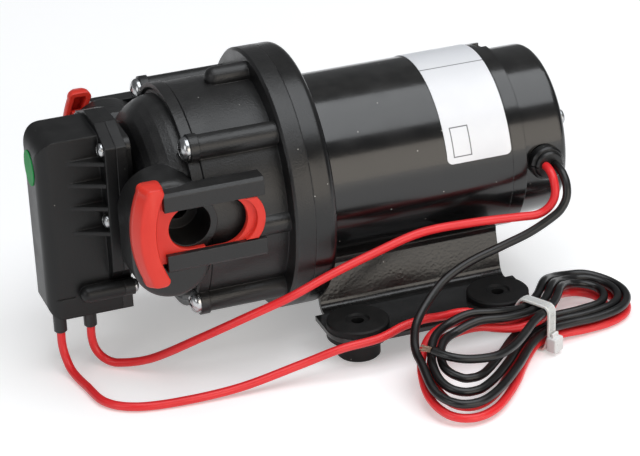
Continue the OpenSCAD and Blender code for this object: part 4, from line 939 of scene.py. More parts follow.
@dataclass
class Hank:
    """Loops of lead tied at a waist, with a wide left lobe and a narrow right one, in millimetres."""

    at: Flat = (34.0, -66.0)
    angle: float = math.radians(29.0)
    lobe_run: float = 0.28
    left_reach: float = 43.0
    right_reach: float = 37.0
    left_half: float = 25.0
    right_half: float = 17.0
    left_spread: float = 1.06
    left_shear: float = 0.5
    left_slope: float = 0.30
    right_slope: float = 0.14
    waist_lift: float = 1.5
    waist_span: float = 26.0
    slope_span: float = 70.0
    fold_lift: float = 9.3
    fold_flat: float = 14.0
    fold_run: float = 28.0
    floor_gap: float = 0.05
    loop_step: float = 4.4
    right_step: float = 3.65
    waist_step: float = 4.3
    lead_r: float = 1.7

    @staticmethod
    def ease(x: float) -> float:
        """Smooth step from 0 to 1."""
        c = min(1.0, max(0.0, x))
        return c * c * (3 - 2 * c)

    def lobe(self, f: float, reach: float, w: float, half: float) -> Flat:
        """Point on one lobe.

        Args:
            f: share of the way round the lobe.
            reach: distance from the waist to the lobe's arc.
            w: half width at the waist.
            half: half width of the lobe.

        Returns:
            Distance along the hank and across it.
        """
        if f < self.lobe_run:
            x = f / self.lobe_run
            return reach * x, w + (half - w) * self.ease(x)
        if f > 1 - self.lobe_run:
            x = (1 - f) / self.lobe_run
            return reach * x, -(w + (half - w) * self.ease(x))
        a = math.radians(90 - 180 * (f - self.lobe_run) / (1 - 2 * self.lobe_run))
        return reach + half * math.cos(a), half * math.sin(a)

    def edge(self, u: float, w: float) -> float:
        """Half width of the hank's outline at a distance from the waist."""
        reach = self.right_reach if u > 0 else self.left_reach
        half = self.right_half if u > 0 else self.left_half
        a = abs(u)
        if a < reach:
            return w + (half - w) * self.ease(a / reach)
        return math.sqrt(max(0.0, half * half - (a - reach) ** 2))

    def point(self, layer: Layer, turn: float, inward: float) -> Vector:
        """Point on a layer's loops.

        Args:
            layer: the layer.
            turn: turns from the far side of the waist.
            inward: loops in from the outermost one.

        Returns:
            The point, in millimetres.
        """
        t = turn - math.floor(turn)
        w = (layer.rows - inward) * self.waist_step
        if t < 0.5:
            half = self.right_half - layer.trim[1] - self.right_step * inward
            u, v = self.lobe(2 * t, self.right_reach, w, half)
        else:
            half = self.left_half - layer.trim[0] - self.loop_step * self.left_spread * inward
            u, v = (-x for x in self.lobe(2 * t - 1, self.left_reach, w, half))
        waist = 1 - self.ease(abs(u) / self.waist_span)
        tilt = (self.right_slope - self.left_slope) * self.ease(u / self.slope_span + 0.5)
        slope = (self.left_slope + tilt) * (1 - waist)
        z = self.lead_r + self.floor_gap + slope * (v + self.edge(u, layer.rows * self.waist_step))
        z += layer.rise + self.waist_lift * waist
        if t < 0.25 or t >= 0.75:
            z += self.fold_lift * (1 - self.ease((abs(u) - self.fold_flat) / self.fold_run))
        s = u + (self.left_shear * v * self.ease(-u / self.left_reach) if u < 0 else 0.0)
        cos, sin = math.cos(self.angle), math.sin(self.angle)
        return Vector((self.at[0] + s * cos - v * sin, self.at[1] + s * sin + v * cos, z))

    def loops(self, layer: Layer) -> list[Vector]:
        """Points of a layer's loops in millimetres, with a straight stretch led in."""
        shares = [i / layer.steps for i in range(layer.steps + 1)]
        made = [self.point(layer, layer.start + layer.turns * s, abs(layer.turns) * s) for s in shares]
        first = made[0] - 2 * self.lead_r * (made[1] - made[0]).normalized()
        return [first] + made


class FarEnd(Enum):
    """What a lead's far end is."""

    BARE = "bare"
    OBJECT = "object"


class Lay(Enum):
    """How a lead lies."""

    LOOSE = "loose"
    COILED = "coiled"


@dataclass
class Lead:
    """One insulated lead: its run, its loops and what it ends in, in millimetres."""

    name: str
    finish: Finish
    slot: str
    run: list[Vector]
    loops: list[Vector]
    far_end: FarEnd
    lay: Lay
    nodes: tuple[str, ...]
    radius: float = 1.7
    sides: int = 18
    step: float = 1.3
    run_steps: int = 10
    loop_steps: int = 6
    least_bend: float = 7.4
    most_ease: float = 2.2
    floor_gap: float = 0.05

    def path(self) -> list[Vector]:
        """The lead's middle, in metres."""
        made = smoothed(self.run, self.run_steps)
        if self.loops:
            made = made[:-1] + smoothed(self.loops, self.loop_steps)
        made = eased(made, self.step, self.least_bend, self.most_ease)
        return [Vector((p.x, p.y, max(p.z, self.radius + self.floor_gap))) * MM for p in made]

    def build(self) -> tuple[bpy.types.Object, list[Vector]]:
        """Makes the lead's piece.

        Returns:
            The piece and its middle in metres.
        """
        path = self.path()
        mesh = swept(self.name, path, self.radius * MM, self.sides)
        return place_piece(mesh, self.name, self.finish, Body.PUMP, self.slot, *self.nodes), path

    def declare(self, piece: bpy.types.Object, path: Sequence[Vector],
                riders: Iterable[bpy.types.Object]) -> None:
        """Does nothing; the lead's size and lay are not stated.

        Args:
            piece: not used.
            path: not used.
            riders: not used.
        """


@dataclass
class Leads:
    """The three leads, tied in a hank beside the pump, in millimetres; each way leads from exit to end."""

    hank: Hank = field(default_factory=Hank)
    relief: Flat = (54.0, -40.17)
    red_exit: Flat = (-2.2, 0.6)
    black_exit: Flat = (2.0, 0.2)
    sleeves: Flat = (-139.8, -127.8)
    sleeve_y: float = -8.0
    sleeve_end: float = 17.35
    sleeve_drop: float = 1.6
    lead_gap: float = 0.15
    red_layer: Layer = Layer(start=-0.12, turns=2.62, steps=63, rows=1.4)
    black_layer: Layer = Layer(start=0.78, turns=-2.78, steps=67, rows=1.45, rise=4.6, trim=(4.6, 0.0))
    jumper_way: tuple[Spot, ...] = (
        (51.8, -46.6, 62.2), (51.7, -49.1, 59.3), (51.4, -50, 55.2), (49.9, -50, 51.4), (47, -49.6, 48.9),
        (43, -49.2, 48), (36, -48, 48), (17, -46, 48.5), (-4, -46, 48.5), (-25, -48, 44.5), (-43, -51, 41),
        (-60, -52, 35.5), (-75, -48, 29), (-92, -38, 18.5), (-109, -24, 6.3), (-121, -13.9, 2.3),
        (-124.5, -10.9, 3.5), (-126.8, -8.9, 6.6))
    red_way: tuple[Spot, ...] = (
        (-139.4, -9.5, 7.5), (-138.6, -13.5, 3.6), (-137.4, -19, 2), (-135.9, -27, 1.8), (-132.8, -41.8, 1.8),
        (-123.4, -50.3, 1.8), (-106.6, -53.7, 1.9), (-83, -55, 3.2), (-58.8, -56, 8), (-42.5, -57.5, 12),
        (-27, -57.8, 13.2), (-15.5, -55.6, 15.2))
    black_way: tuple[Spot, ...] = (
        (56, -47.2, 62), (55.9, -50.4, 59), (55.1, -52.3, 55), (52.8, -53.3, 51.3), (49, -53.5, 48.2),
        (39, -53, 43), (27, -52, 38.8), (14, -52, 35), (2.5, -54, 30.5), (-7, -59, 25), (-14.2, -65.7, 20.7),
        (-18.5, -74.2, 17.9))
    black_tail: tuple[Spot, ...] = (
        (29.7, -76.7, 17), (21.6, -84.5, 16.3), (13.9, -91, 16.2), (5.4, -95.2, 16.6), (-4.6, -95.2, 17.6),
        (-11.4, -92.1, 18.6), (-16, -86, 19.3))

    def build(self) -> None:
        step = 2 * self.hank.lead_r
        out, drop = -step * Y_AXIS, -step * self.sleeve_drop * Z_AXIS
        red_from, black_from = (
            Vector((self.relief[0] + along, self.relief[1], AXIS_H + high))
            for along, high in (self.red_exit, self.black_exit))
        outer, inner = (Vector((x, self.sleeve_y, self.sleeve_end)) for x in self.sleeves)
        red_loops = self.hank.loops(self.red_layer)
        black_loops = self.hank.loops(self.black_layer) + self._points(self.black_tail)
        jumper = [red_from, red_from + out] + self._points(self.jumper_way) + [inner + drop, inner]
        red_run = [outer, outer + drop] + self._points(self.red_way) + self._met(red_loops)
        black_run = [black_from, black_from + out] + self._points(self.black_way) + self._met(black_loops)
        leads = (
            Lead("red_jumper", Finishes.red_lead, "red_insulation", jumper, [], FarEnd.OBJECT, Lay.LOOSE,
                 ("red_jumper_lead",)),
            Lead("red_supply", Finishes.red_lead, "red_insulation", red_run, red_loops, FarEnd.BARE,
                 Lay.COILED, ("red_supply_run", "red_supply_hank")),
            Lead("black_supply", Finishes.black_lead, "black_insulation", black_run, black_loops, FarEnd.BARE,
                 Lay.COILED, ("black_supply_run", "black_supply_hank")))
        tie = CableTie(self.hank).build()
        last = black_loops[-1]
        strands = BareStrands().build(last, (last - black_loops[-2]).normalized())
        for lead, riders in zip(leads, ([], [tie], [strands])):
            piece, path = lead.build()
            lead.declare(piece, path, riders)

    @staticmethod
    def _points(way: Iterable[Spot]) -> list[Vector]:
        """Points of a way."""
        return [Vector(spot) for spot in way]

    def _met(self, loops: Sequence[Vector]) -> list[Vector]:
        """Last stretch of a run, straight up to its loops."""
        ahead = (loops[1] - loops[0]).normalized()
        return [loops[0] - 2 * self.hank.lead_r * ahead, loops[0] - self.lead_gap * ahead]


@dataclass
class ScrewSet:
    """Screws of one size on one body, in millimetres, with their heads towards the axis.

    The rim and the recess are shares of the head's height, the arms of its radius, and the thread's pitch,
    root and tip of the shank's radius.
    """

    name: str
    node: str
    body: Body
    seats: list[Vector]
    axis: Vector
    head_r: float
    head_h: float
    shank_r: float
    shank_len: float
    seed: int
    slot: str = "bright_steel"
    rim: float = 0.25
    recess: float = 0.62
    arm: float = 1.05
    arm_width: float = 0.24
    pitch: float = 0.5
    root: float = 0.82
    tip: float = 0.7
    sides: int = 24
    sharp: float = 32.0

    def blank(self) -> bpy.types.Mesh:
        """A domed blank with a threaded shank, before its recess is cut."""
        rim = self.rim * self.head_h
        dome = [math.radians(a) for a in range(75, -1, -15)]
        steps = [(0.0, self.head_h)] + [
            (self.head_r * math.cos(a), rim + (self.head_h - rim) * math.sin(a)) for a in dome]
        steps += [(self.head_r, 0.0), (self.shank_r, 0.0)]
        pitch = self.pitch * self.shank_r
        for k in range(1, int(self.shank_len / pitch) - 1):
            steps.append((self.shank_r * (self.root if k % 2 else 1.0), -pitch * k))
        steps += [(self.tip * self.shank_r, -self.shank_len), (0.0, -self.shank_len)]
        return turned(self.name + "_blank", [(r * MM, z * MM) for r, z in steps], self.sides)

    def build(self) -> None:
        """Cuts the recess and sets a screw on each seat."""
        blank = bpy.data.objects.new(self.name + "_blank", self.blank())
        seats = bpy.data.meshes.new(self.name)
        seats.from_pydata([p * MM for p in self.seats], [], [])
        mesh = grown(seats, RECIPES.screws, {
            "Blank": blank, "Axis": self.axis, "Head Height": self.head_h * MM,
            "Arm Length": self.arm * self.head_r * MM, "Arm Width": self.arm_width * self.head_r * MM,
            "Recess Depth": self.recess * self.head_h * MM, "Seed": self.seed,
            "Finish": Finishes.steel.material()}, self.sharp)
        bpy.data.objects.remove(blank)
        place_piece(mesh, self.name, Finishes.steel, self.body, self.slot, self.node)


@dataclass
class Fasteners:
    """Every screw and bolt, in millimetres."""

    head_seat: float = -90.5
    head_at: float = 31.82
    cap_seat: float = -119.5
    cap_at: tuple[Flat, ...] = ((-16.5, 64.5), (16.5, 64.5), (-16.5, 93.8), (16.5, 93.8))
    ear_seat: float = -111.0
    ear_at: tuple[Flat, ...] = ((-14.5, 34.3), (14.5, 34.3))
    bolt_seat: float = 64.3
    bolt_at: float = 27.8
    bolt_angle: float = math.radians(28.0)
    nutation: float = -78.5
    tilt: float = math.radians(4.0)
    piston_at: float = 20.0
    piston_seat: float = -0.1
    piston_turns: tuple[int, ...] = (180, 300, 420)

    def build(self) -> None:
        """Makes each set of screws."""
        at = self.head_at
        head = [Vector((self.head_seat, y, AXIS_H + z)) for y in (-at, at) for z in (-at, at)]
        cap = [Vector((self.cap_seat, y, z)) for y, z in self.cap_at]
        ears = [Vector((self.ear_seat, y, z)) for y, z in self.ear_at]
        across, high = self.bolt_at * math.cos(self.bolt_angle), self.bolt_at * math.sin(self.bolt_angle)
        bolts = [Vector((self.bolt_seat, -k * across, AXIS_H + k * high)) for k in (1, -1)]
        for screws in (
                ScrewSet("cover_screws", "head_screws", Body.PUMP, head, -X_AXIS, head_r=4.75, head_h=3.5,
                         shank_r=2.2, shank_len=28, seed=3),
                ScrewSet("cap_screws", "switch_cap_screws", Body.PUMP, cap, -X_AXIS, head_r=2.7, head_h=2,
                         shank_r=1.4, shank_len=8, seed=5),
                ScrewSet("ear_screws", "switch_base_screws", Body.PUMP, ears, X_AXIS, head_r=2.7, head_h=2,
                         shank_r=1.4, shank_len=8.5, seed=8),
                ScrewSet("motor_bolts", "through_bolts", Body.PUMP, bolts, X_AXIS, head_r=3.2, head_h=2.4,
                         shank_r=2, shank_len=105, seed=2),
                ScrewSet("arm_screws", "piston_screws", Body.WOBBLER, self._on_wobbler(),
                         self._tilted(-Z_AXIS), head_r=3.2, head_h=1.6, shank_r=1.25, shank_len=7, seed=6)):
            screws.build()

    def _tilted(self, local: Vector) -> Vector:
        """A direction of the wobble plate's own frame, as it stands at rest."""
        return Matrix.Rotation(-self.tilt, 3, "Y") @ (Matrix.Rotation(math.pi / 2, 3, "Y") @ local)

    def _on_wobbler(self) -> list[Vector]:
        """Seats of the three piston screws."""
        made = []
        for turn in self.piston_turns:
            a = math.radians(turn)
            local = Vector((self.piston_at * math.cos(a), self.piston_at * math.sin(a), self.piston_seat))
            made.append(Vector((self.nutation, 0, AXIS_H)) + self._tilted(local))
        return made


@dataclass
class PortClip:
    """One slide clip, in millimetres: a keyhole plate, a bowed handle, hollow behind, and a rear ridge."""

    node: str
    body: Body
    side: int
    port_x: float = -96.0
    port_z: float = 71.0
    plate_y: float = 46.8
    plate_t: float = 2.5
    plate_half: float = 13.0
    rear_x: float = -67.5
    bore_half: float = 8.7
    open_half: float = 9.9
    open_from: float = 5.0
    ridge_len: float = 3.2
    ridge_t: float = 2.2
    ridge_half: float = 8.5
    handle_x: float = -114.9
    bow_r: float = 43.0
    handle_half: float = 4.2
    handle_h: float = 41.6
    handle_w: float = 8.0
    bevel: float = 4.2
    wall: float = 1.8
    edge: float = 0.35
    arc_steps: int = 28
    bow_steps: int = 32
    corner_steps: int = 8
    weld: float = 1e-7
    sharp: float = 38.0

    def build(self) -> None:
        """Makes the clip as one piece on its own body."""
        shape = bmesh.new()
        for mesh in (self._sheet([self._plate_outline(), self._plate_hole()], self.plate_t),
                     self._sheet([self._ridge_outline()], self.plate_t + self.ridge_t)):
            shape.from_mesh(mesh)
            bpy.data.meshes.remove(mesh)
        self._handle(shape)
        for vert in shape.verts:
            vert.co = Vector((vert.co.x, self.side * vert.co.y, vert.co.z)) * MM
        bmesh.ops.remove_doubles(shape, verts=shape.verts, dist=self.weld)
        mesh = shaded(closed_mesh(shape, self.node + "_moulding"), self.sharp)
        place_piece(mesh, self.node + "_moulding", Finishes.clip, self.body, "red_plastic", self.node)

    @staticmethod
    def _arc(middle: Flat, r: float, start: float, end: float, steps: int) -> list[Flat]:
        """Points of an arc, with angles in degrees."""
        turns = [math.radians(start + (end - start) * k / steps) for k in range(steps + 1)]
        return [(middle[0] + r * math.cos(a), middle[1] + r * math.sin(a)) for a in turns]

    def _plate_outline(self) -> list[Flat]:
        """Outline of the plate, from its handle to its round rear."""
        end = self.rear_x - self.plate_half
        low, high = self.port_z - self.plate_half, self.port_z + self.plate_half
        rear = self._arc((end, self.port_z), self.plate_half, -90, 90, self.bow_steps)
        return [(self.handle_x, low)] + rear + [(self.handle_x, high)]

    def _plate_hole(self) -> list[Flat]:
        """Outline of the keyhole: round at the port, wider towards the rear."""
        inner = self.rear_x - 2 * self.ridge_len - self.open_half
        step = self.port_x + self.open_from
        z, half = self.port_z, self.bore_half
        front = self._arc((self.port_x, z), half, 90, 270, self.arc_steps)
        rear = self._arc((inner, z), self.open_half, -90, 90, self.arc_steps)
        return front + [(step, z - half), (step, z - self.open_half)] + rear + [
            (step, z + self.open_half), (step, z + half)]

    def _ridge_outline(self, steps: int = 20) -> list[Flat]:
        """Outline of the raised crescent at the rear."""
        middle = (self.rear_x - self.plate_half, self.port_z)
        outer = math.degrees(math.asin(self.ridge_half / self.plate_half))
        inner_r = self.plate_half - self.ridge_len
        inner = math.degrees(math.asin(self.ridge_half / inner_r))
        outside = self._arc(middle, self.plate_half, -outer, outer, steps)
        return outside + self._arc(middle, inner_r, inner, -inner, steps)

    def _sheet(self, outlines: Sequence[Sequence[Flat]], thick: float) -> bpy.types.Mesh:
        """Mesh of flat outlines with softened edges, standing on the port's face."""
        flat = bpy.data.curves.new(self.node + "_flat", "CURVE")
        flat.dimensions = "2D"
        flat.fill_mode = "BOTH"
        flat.extrude = thick / 2 - self.edge
        flat.bevel_depth = self.edge
        flat.offset = -self.edge
        flat.bevel_resolution = 2
        for outline in outlines:
            spline = flat.splines.new("POLY")
            spline.points.add(len(outline) - 1)
            spline.use_cyclic_u = True
            for point, (x, z) in zip(spline.points, outline):
                point.co = (x, z, 0.0, 1.0)
        carrier = bpy.data.objects.new(flat.name, flat)
        bpy.context.scene.collection.objects.link(carrier)
        graph = bpy.context.evaluated_depsgraph_get()
        mesh = bpy.data.meshes.new_from_object(carrier.evaluated_get(graph))
        bpy.data.objects.remove(carrier)
        for vert in mesh.vertices:
            x, z, y = vert.co
            vert.co = (x, self.plate_y + thick / 2 + y, z)
        mesh.materials.clear()
        return mesh

    def _bow(self, outer: float, inner: float, short: float, corner: float) -> list[Flat]:
        """Outline of the bowed handle with rounded corners.

        Args:
            outer: how far its front edge is set in.
            inner: how far its rear edge is set in.
            short: how far its ends are set in.
            corner: radius of its corners.

        Returns:
            The points along the pump and upwards, always as many.
        """
        middle = self.handle_x + self.bow_r
        half = self.handle_h / 2 - short
        front, rear = self.bow_r + self.handle_half - outer, self.bow_r - self.handle_half + inner
        made = []
        for radius, way in ((front, 1), (rear, -1)):
            reach = half - corner
            heights = [way * reach * (2 * k / self.bow_steps - 1) for k in range(self.bow_steps + 1)]
            edge = [(middle - math.sqrt(radius ** 2 - z ** 2), self.port_z + z) for z in heights]
            start = (edge[0][0] + way * corner, self.port_z - way * half)
            end = (edge[-1][0] + way * corner, self.port_z + way * half)
            made += self._corner(start, edge[0]) + edge[1:-1] + self._corner(edge[-1], end)
        return made

    def _corner(self, first: Flat, last: Flat) -> list[Flat]:
        """Quarter round between two points, the square one of which lies at a corner."""
        at_end = abs(first[1] - self.port_z) < abs(last[1] - self.port_z)
        square = (first[0], last[1]) if at_end else (last[0], first[1])
        made = []
        for k in range(self.corner_steps + 1):
            t = k / self.corner_steps
            made.append(tuple((1 - t) ** 2 * a + 2 * t * (1 - t) * b + t * t * c
                              for a, b, c in zip(first, square, last)))
        return made

    def _handle(self, shape: bmesh.types.BMesh) -> None:
        """Adds the handle: bevelled in front, rounded at its edges and hollow behind."""
        foot, top = self.plate_y, self.plate_y + self.handle_w
        side, shoulder, wall = self.bevel / 2, top - self.bevel, self.wall
        # Insets of the front, the rear and the ends, radius of the corners, and height of each outline
        outside = (
            (0.3, 0.3, 0.3, 2.6, foot),
            (0.0, 0.0, 0.0, 2.8, foot + 0.4),
            (0.0, 0.0, 0.0, 2.8, shoulder - 0.4),
            (0.25, 0.0, 0.1, 2.8, shoulder + 0.3),
            (side - 0.3, 0.0, 0.9, 2.6, top - 0.9),
            (side, 0.15, 1.1, 2.5, top - 0.35),
            (side + 0.6, 0.55, 1.6, 2.3, top))
        inside = (
            (wall + side, wall, 2 * wall, 1.0, top - wall),
            (wall, wall, wall, 1.2, shoulder - wall),
            (wall, wall, wall, 1.2, foot))
        rings = [
            [shape.verts.new((x, y, z)) for x, z in self._bow(*insets)] for *insets, y in outside + inside]
        outer, inner = rings[:len(outside)], rings[len(outside):]
        shape.faces.new(outer[-1])
        shape.faces.new(inner[0])
        for low, high in (*zip(outer, outer[1:]), *zip(inner, inner[1:]), (inner[-1], outer[0])):
            bridge(shape, low, high)


@dataclass
class PortClips:
    """The inlet's clip on the near side and the outlet's on the far side."""

    def build(self) -> None:
        """Makes both clips."""
        for body, side in ((Body.INLET_CLIP, -1), (Body.OUTLET_CLIP, 1)):
            PortClip(body.value, body, side).build()


@dataclass
class RatingLabel:
    """Blank film round the motor with rounded corners, in millimetres and degrees."""

    radius: float = 37.16
    sheet: float = 0.25
    ends: Flat = (12.1, 38.9)
    angles: Flat = (11.0, 125.0)
    corner: float = 2.2
    columns: int = 60
    rows: int = 120
    sharp: float = 40.0

    def build(self) -> None:
        """Rolls the film, rounds its corners and maps it by length and girth."""
        shape = bmesh.new()
        layer = shape.loops.layers.uv.new("UVMap")
        spots: dict[bmesh.types.BMVert, Flat] = {}
        self._skin(shape, [self._rolled(shape, r, spots) for r in (self.radius, self.radius + self.sheet)])
        for face in shape.faces:
            for loop in face.loops:
                loop[layer].uv = spots[loop.vert]
        mesh = shaded(closed_mesh(shape, "rating_label"), self.sharp)
        place_piece(mesh, "rating_label", Finishes.label, Body.PUMP, "label_film", "label_plate")

    def _rolled(self, shape: bmesh.types.BMesh, r: float,
                spots: dict[bmesh.types.BMVert, Flat]) -> list[list[bmesh.types.BMVert]]:
        """Corners of one face of the film.

        Args:
            shape: where the corners are made.
            r: the face's distance from the motor's axis.
            spots: takes each corner's length and girth, in metres.

        Returns:
            The corners, row by row along the motor.
        """
        start, end = (math.radians(a) * self.radius for a in self.angles)
        grid = []
        for i in range(self.columns + 1):
            x = self.ends[0] + self._eased(i / self.columns) * (self.ends[1] - self.ends[0])
            near = min(x - self.ends[0], self.ends[1] - x, self.corner)
            inset = self.corner - math.sqrt(max(0.0, self.corner ** 2 - (self.corner - near) ** 2))
            line = []
            for k in range(self.rows + 1):
                arc = start + inset + k / self.rows * (end - start - 2 * inset)
                a = arc / self.radius
                vert = shape.verts.new(Vector((x, -r * math.cos(a), AXIS_H + r * math.sin(a))) * MM)
                spots[vert] = (x * MM, arc * MM)
                line.append(vert)
            grid.append(line)
        return grid

    @staticmethod
    def _eased(share: float) -> float:
        """Share along the film, with closer steps near its ends."""
        return 0.5 - 0.5 * math.cos(math.pi * share)

    def _skin(self, shape: bmesh.types.BMesh, skins: Sequence[list[list[bmesh.types.BMVert]]]) -> None:
        """Closes the inner and outer sheets and the rim between them."""
        for grid in skins:
            for i in range(self.columns):
                for k in range(self.rows):
                    shape.faces.new((grid[i][k], grid[i + 1][k], grid[i + 1][k + 1], grid[i][k + 1]))
        rims = []
        for grid in skins:
            low = [line[0] for line in grid]
            high = [line[-1] for line in grid]
            rims.append(low + grid[-1][1:-1] + high[::-1] + grid[0][-2:0:-1])
        bridge(shape, *rims)


@dataclass
class CableTie:
    """Nylon tie drawn round the hank's waist, in millimetres."""

    hank: Hank = field(default_factory=Hank)
    leads: tuple[Flat, ...] = (
        (-4.3, 3.1), (5.2, 3.2), (6.3, 12.9), (3.7, 17.3), (-6.0, 17.2), (-5.8, 7.7))
    inside: float = 1.95
    band: float = 1.1
    width: float = 4.4
    at: float = 1.0
    strap_share: float = 0.8
    tooth_pitch: float = 1.0
    tooth: Spot = (2.64, 0.3, 0.45)
    head: Spot = (5.6, 4.4, 6.0)
    head_y: float = -7.8
    head_z: float = 1.2
    head_edge: float = 0.7
    tail: Spot = (3.74, 0.9, 2.2)
    tail_edge: float = 0.25
    pawl: Spot = (3.08, 1.0, 1.6)
    pawl_in: float = 0.3
    pawl_edge: float = 0.3
    lift: float = 0.6
    corner_steps: int = 6
    sharp: float = 30.0

    def build(self) -> bpy.types.Object:
        """Makes the strap and the head as one piece.

        Returns:
            The tie's piece.
        """
        path = [self._placed(self.at, v, z) for v, z in self._outline(self.inside + self.band / 2)]
        mesh = grown(paths_mesh("cable_tie_strap", [path], True), RECIPES.strap, {
            "Side": self._direction(1, 0), "Width": self.width * MM,
            "Thickness": self.strap_share * self.band * MM, "Tooth Pitch": self.tooth_pitch * MM,
            "Tooth Size": Vector(self.tooth) * MM, "Finish": Finishes.nylon.material()}, self.sharp)
        shape = bmesh.new()
        shape.from_mesh(mesh)
        self._add_head(shape)
        shape.to_mesh(mesh)
        shape.free()
        return place_piece(mesh, "hank_tie", Finishes.nylon, Body.PUMP, "tie_nylon", "cable_tie")

    def _direction(self, u: float, v: float) -> Vector:
        """Direction along and across the hank."""
        cos, sin = math.cos(self.hank.angle), math.sin(self.hank.angle)
        return Vector((u * cos - v * sin, u * sin + v * cos, 0.0))

    def _placed(self, u: float, v: float, z: float) -> Vector:
        """Point of the hank's own frame, in metres."""
        flat = self._direction(u, v)
        return Vector((self.hank.at[0] + flat.x, self.hank.at[1] + flat.y, z)) * MM

    def _outline(self, r: float) -> list[Flat]:
        """Outline round the tied leads at one distance, with a rounded corner at each."""
        made = []
        count = len(self.leads)
        for i, (v, z) in enumerate(self.leads):
            before, after = self.leads[i - 1], self.leads[(i + 1) % count]
            start = math.atan2(-(v - before[0]), z - before[1])
            turn = (math.atan2(-(after[0] - v), after[1] - z) - start) % (2 * math.pi)
            for k in range(self.corner_steps + 1):
                a = start + turn * k / self.corner_steps
                made.append((v + r * math.cos(a), z + r * math.sin(a)))
        return made

    def _add_head(self, shape: bmesh.types.BMesh) -> None:
        """Adds the locking head, its edges rounded, and the cut tail above it."""
        _, deep, high = self.head
        middle_z = self.head_z + high / 2
        middle_y = self.head_y - deep / 2
        blocks = ((self.head, middle_y, middle_z, self.head_edge),
                  (self.tail, middle_y, self.head_z + high + self.lift, self.tail_edge),
                  (self.pawl, middle_y - deep / 2 + self.pawl_in, middle_z + self.lift, self.pawl_edge))
        turn = Matrix.Rotation(self.hank.angle, 4, "Z")
        for size, across, height, edge in blocks:
            spot = self._placed(self.at, across, height)
            scale = Matrix.Diagonal((*(n * MM for n in size), 1.0))
            made = bmesh.ops.create_cube(shape, size=1.0, matrix=Matrix.Translation(spot) @ turn @ scale)
            edges = list({e for vert in made["verts"] for e in vert.link_edges})
            bmesh.ops.bevel(shape, geom=edges, offset=edge * MM, segments=3, profile=0.6, affect="EDGES")


@dataclass
class BareStrands:
    """Twisted bare strands that stand out of the black lead's cut end, in millimetres."""

    count: int = 19
    wire_r: float = 0.17
    spread_r: float = 0.95
    inside: float = 1.5
    length: float = 5.0
    shortest: float = 0.72
    twist: float = 1.2
    fray: float = 0.55
    fan: float = 0.7
    golden_turn: float = 2.39996
    reach_wave: float = 5.3
    lean_wave: float = 3.7
    lean_from: float = 0.8
    steps: int = 8
    sides: int = 7
    sharp: float = 50.0

    def build(self, end: Vector, ahead: Vector) -> bpy.types.Object:
        """Makes the strands.

        Args:
            end: where the insulation ends.
            ahead: the lead's direction there.

        Returns:
            The strands' piece.
        """
        side = ahead.cross(Z_AXIS).normalized()
        up = side.cross(ahead)
        paths = []
        for i in range(self.count):
            ring = self.spread_r * math.sqrt((i + 0.3) / self.count)
            first = i * self.golden_turn
            reach = self.length * (
                self.shortest + (1 - self.shortest) * abs(math.sin(self.reach_wave * i)))
            lean = self.fray * math.sin(self.lean_wave * i + self.lean_from)
            path = []
            for k in range(self.steps + 1):
                t = k / self.steps
                a = first + self.twist * t
                r = ring * (1 + self.fan * self.fray * t * t) + lean * t ** 3
                run = -self.inside + (reach + self.inside) * t
                path.append((end + run * ahead + r * (math.cos(a) * side + math.sin(a) * up)) * MM)
            paths.append(path)
        mesh = grown(paths_mesh("bare_strand_paths", paths), RECIPES.wire, {
            "Wire Radius": self.wire_r * MM, "Sides": self.sides,
            "Finish": Finishes.tinned.material()}, self.sharp)
        return place_piece(mesh, "bare_wire_strands", Finishes.tinned, Body.PUMP, "copper", "bare_strands")


def helix(first: Vector, ahead: Vector, side: Vector, radius: float, length: float, turns: float,
          per_turn: int = 20, closed: float = 0.8) -> list[Vector]:
    """Points of a coil spring's wire.

    Args:
        first: middle of its first end.
        ahead: direction of its length.
        side: direction square to that.
        radius: radius at the middle of the wire.
        length: its length at the middle of the wire.
        turns: its turns.
        per_turn: steps on each turn.
        closed: share of a turn that lies flat at each end.

    Returns:
        The points, in the same unit.
    """
    other = ahead.cross(side)
    made = []
    steps = int(turns * per_turn)
    for i in range(steps + 1):
        turn = turns * i / steps
        share = min(1.0, max(0.0, (turn - closed) / (turns - 2 * closed)))
        a = 2 * math.pi * turn
        made.append(first + length * share * ahead + radius * (math.cos(a) * side + math.sin(a) * other))
    return made


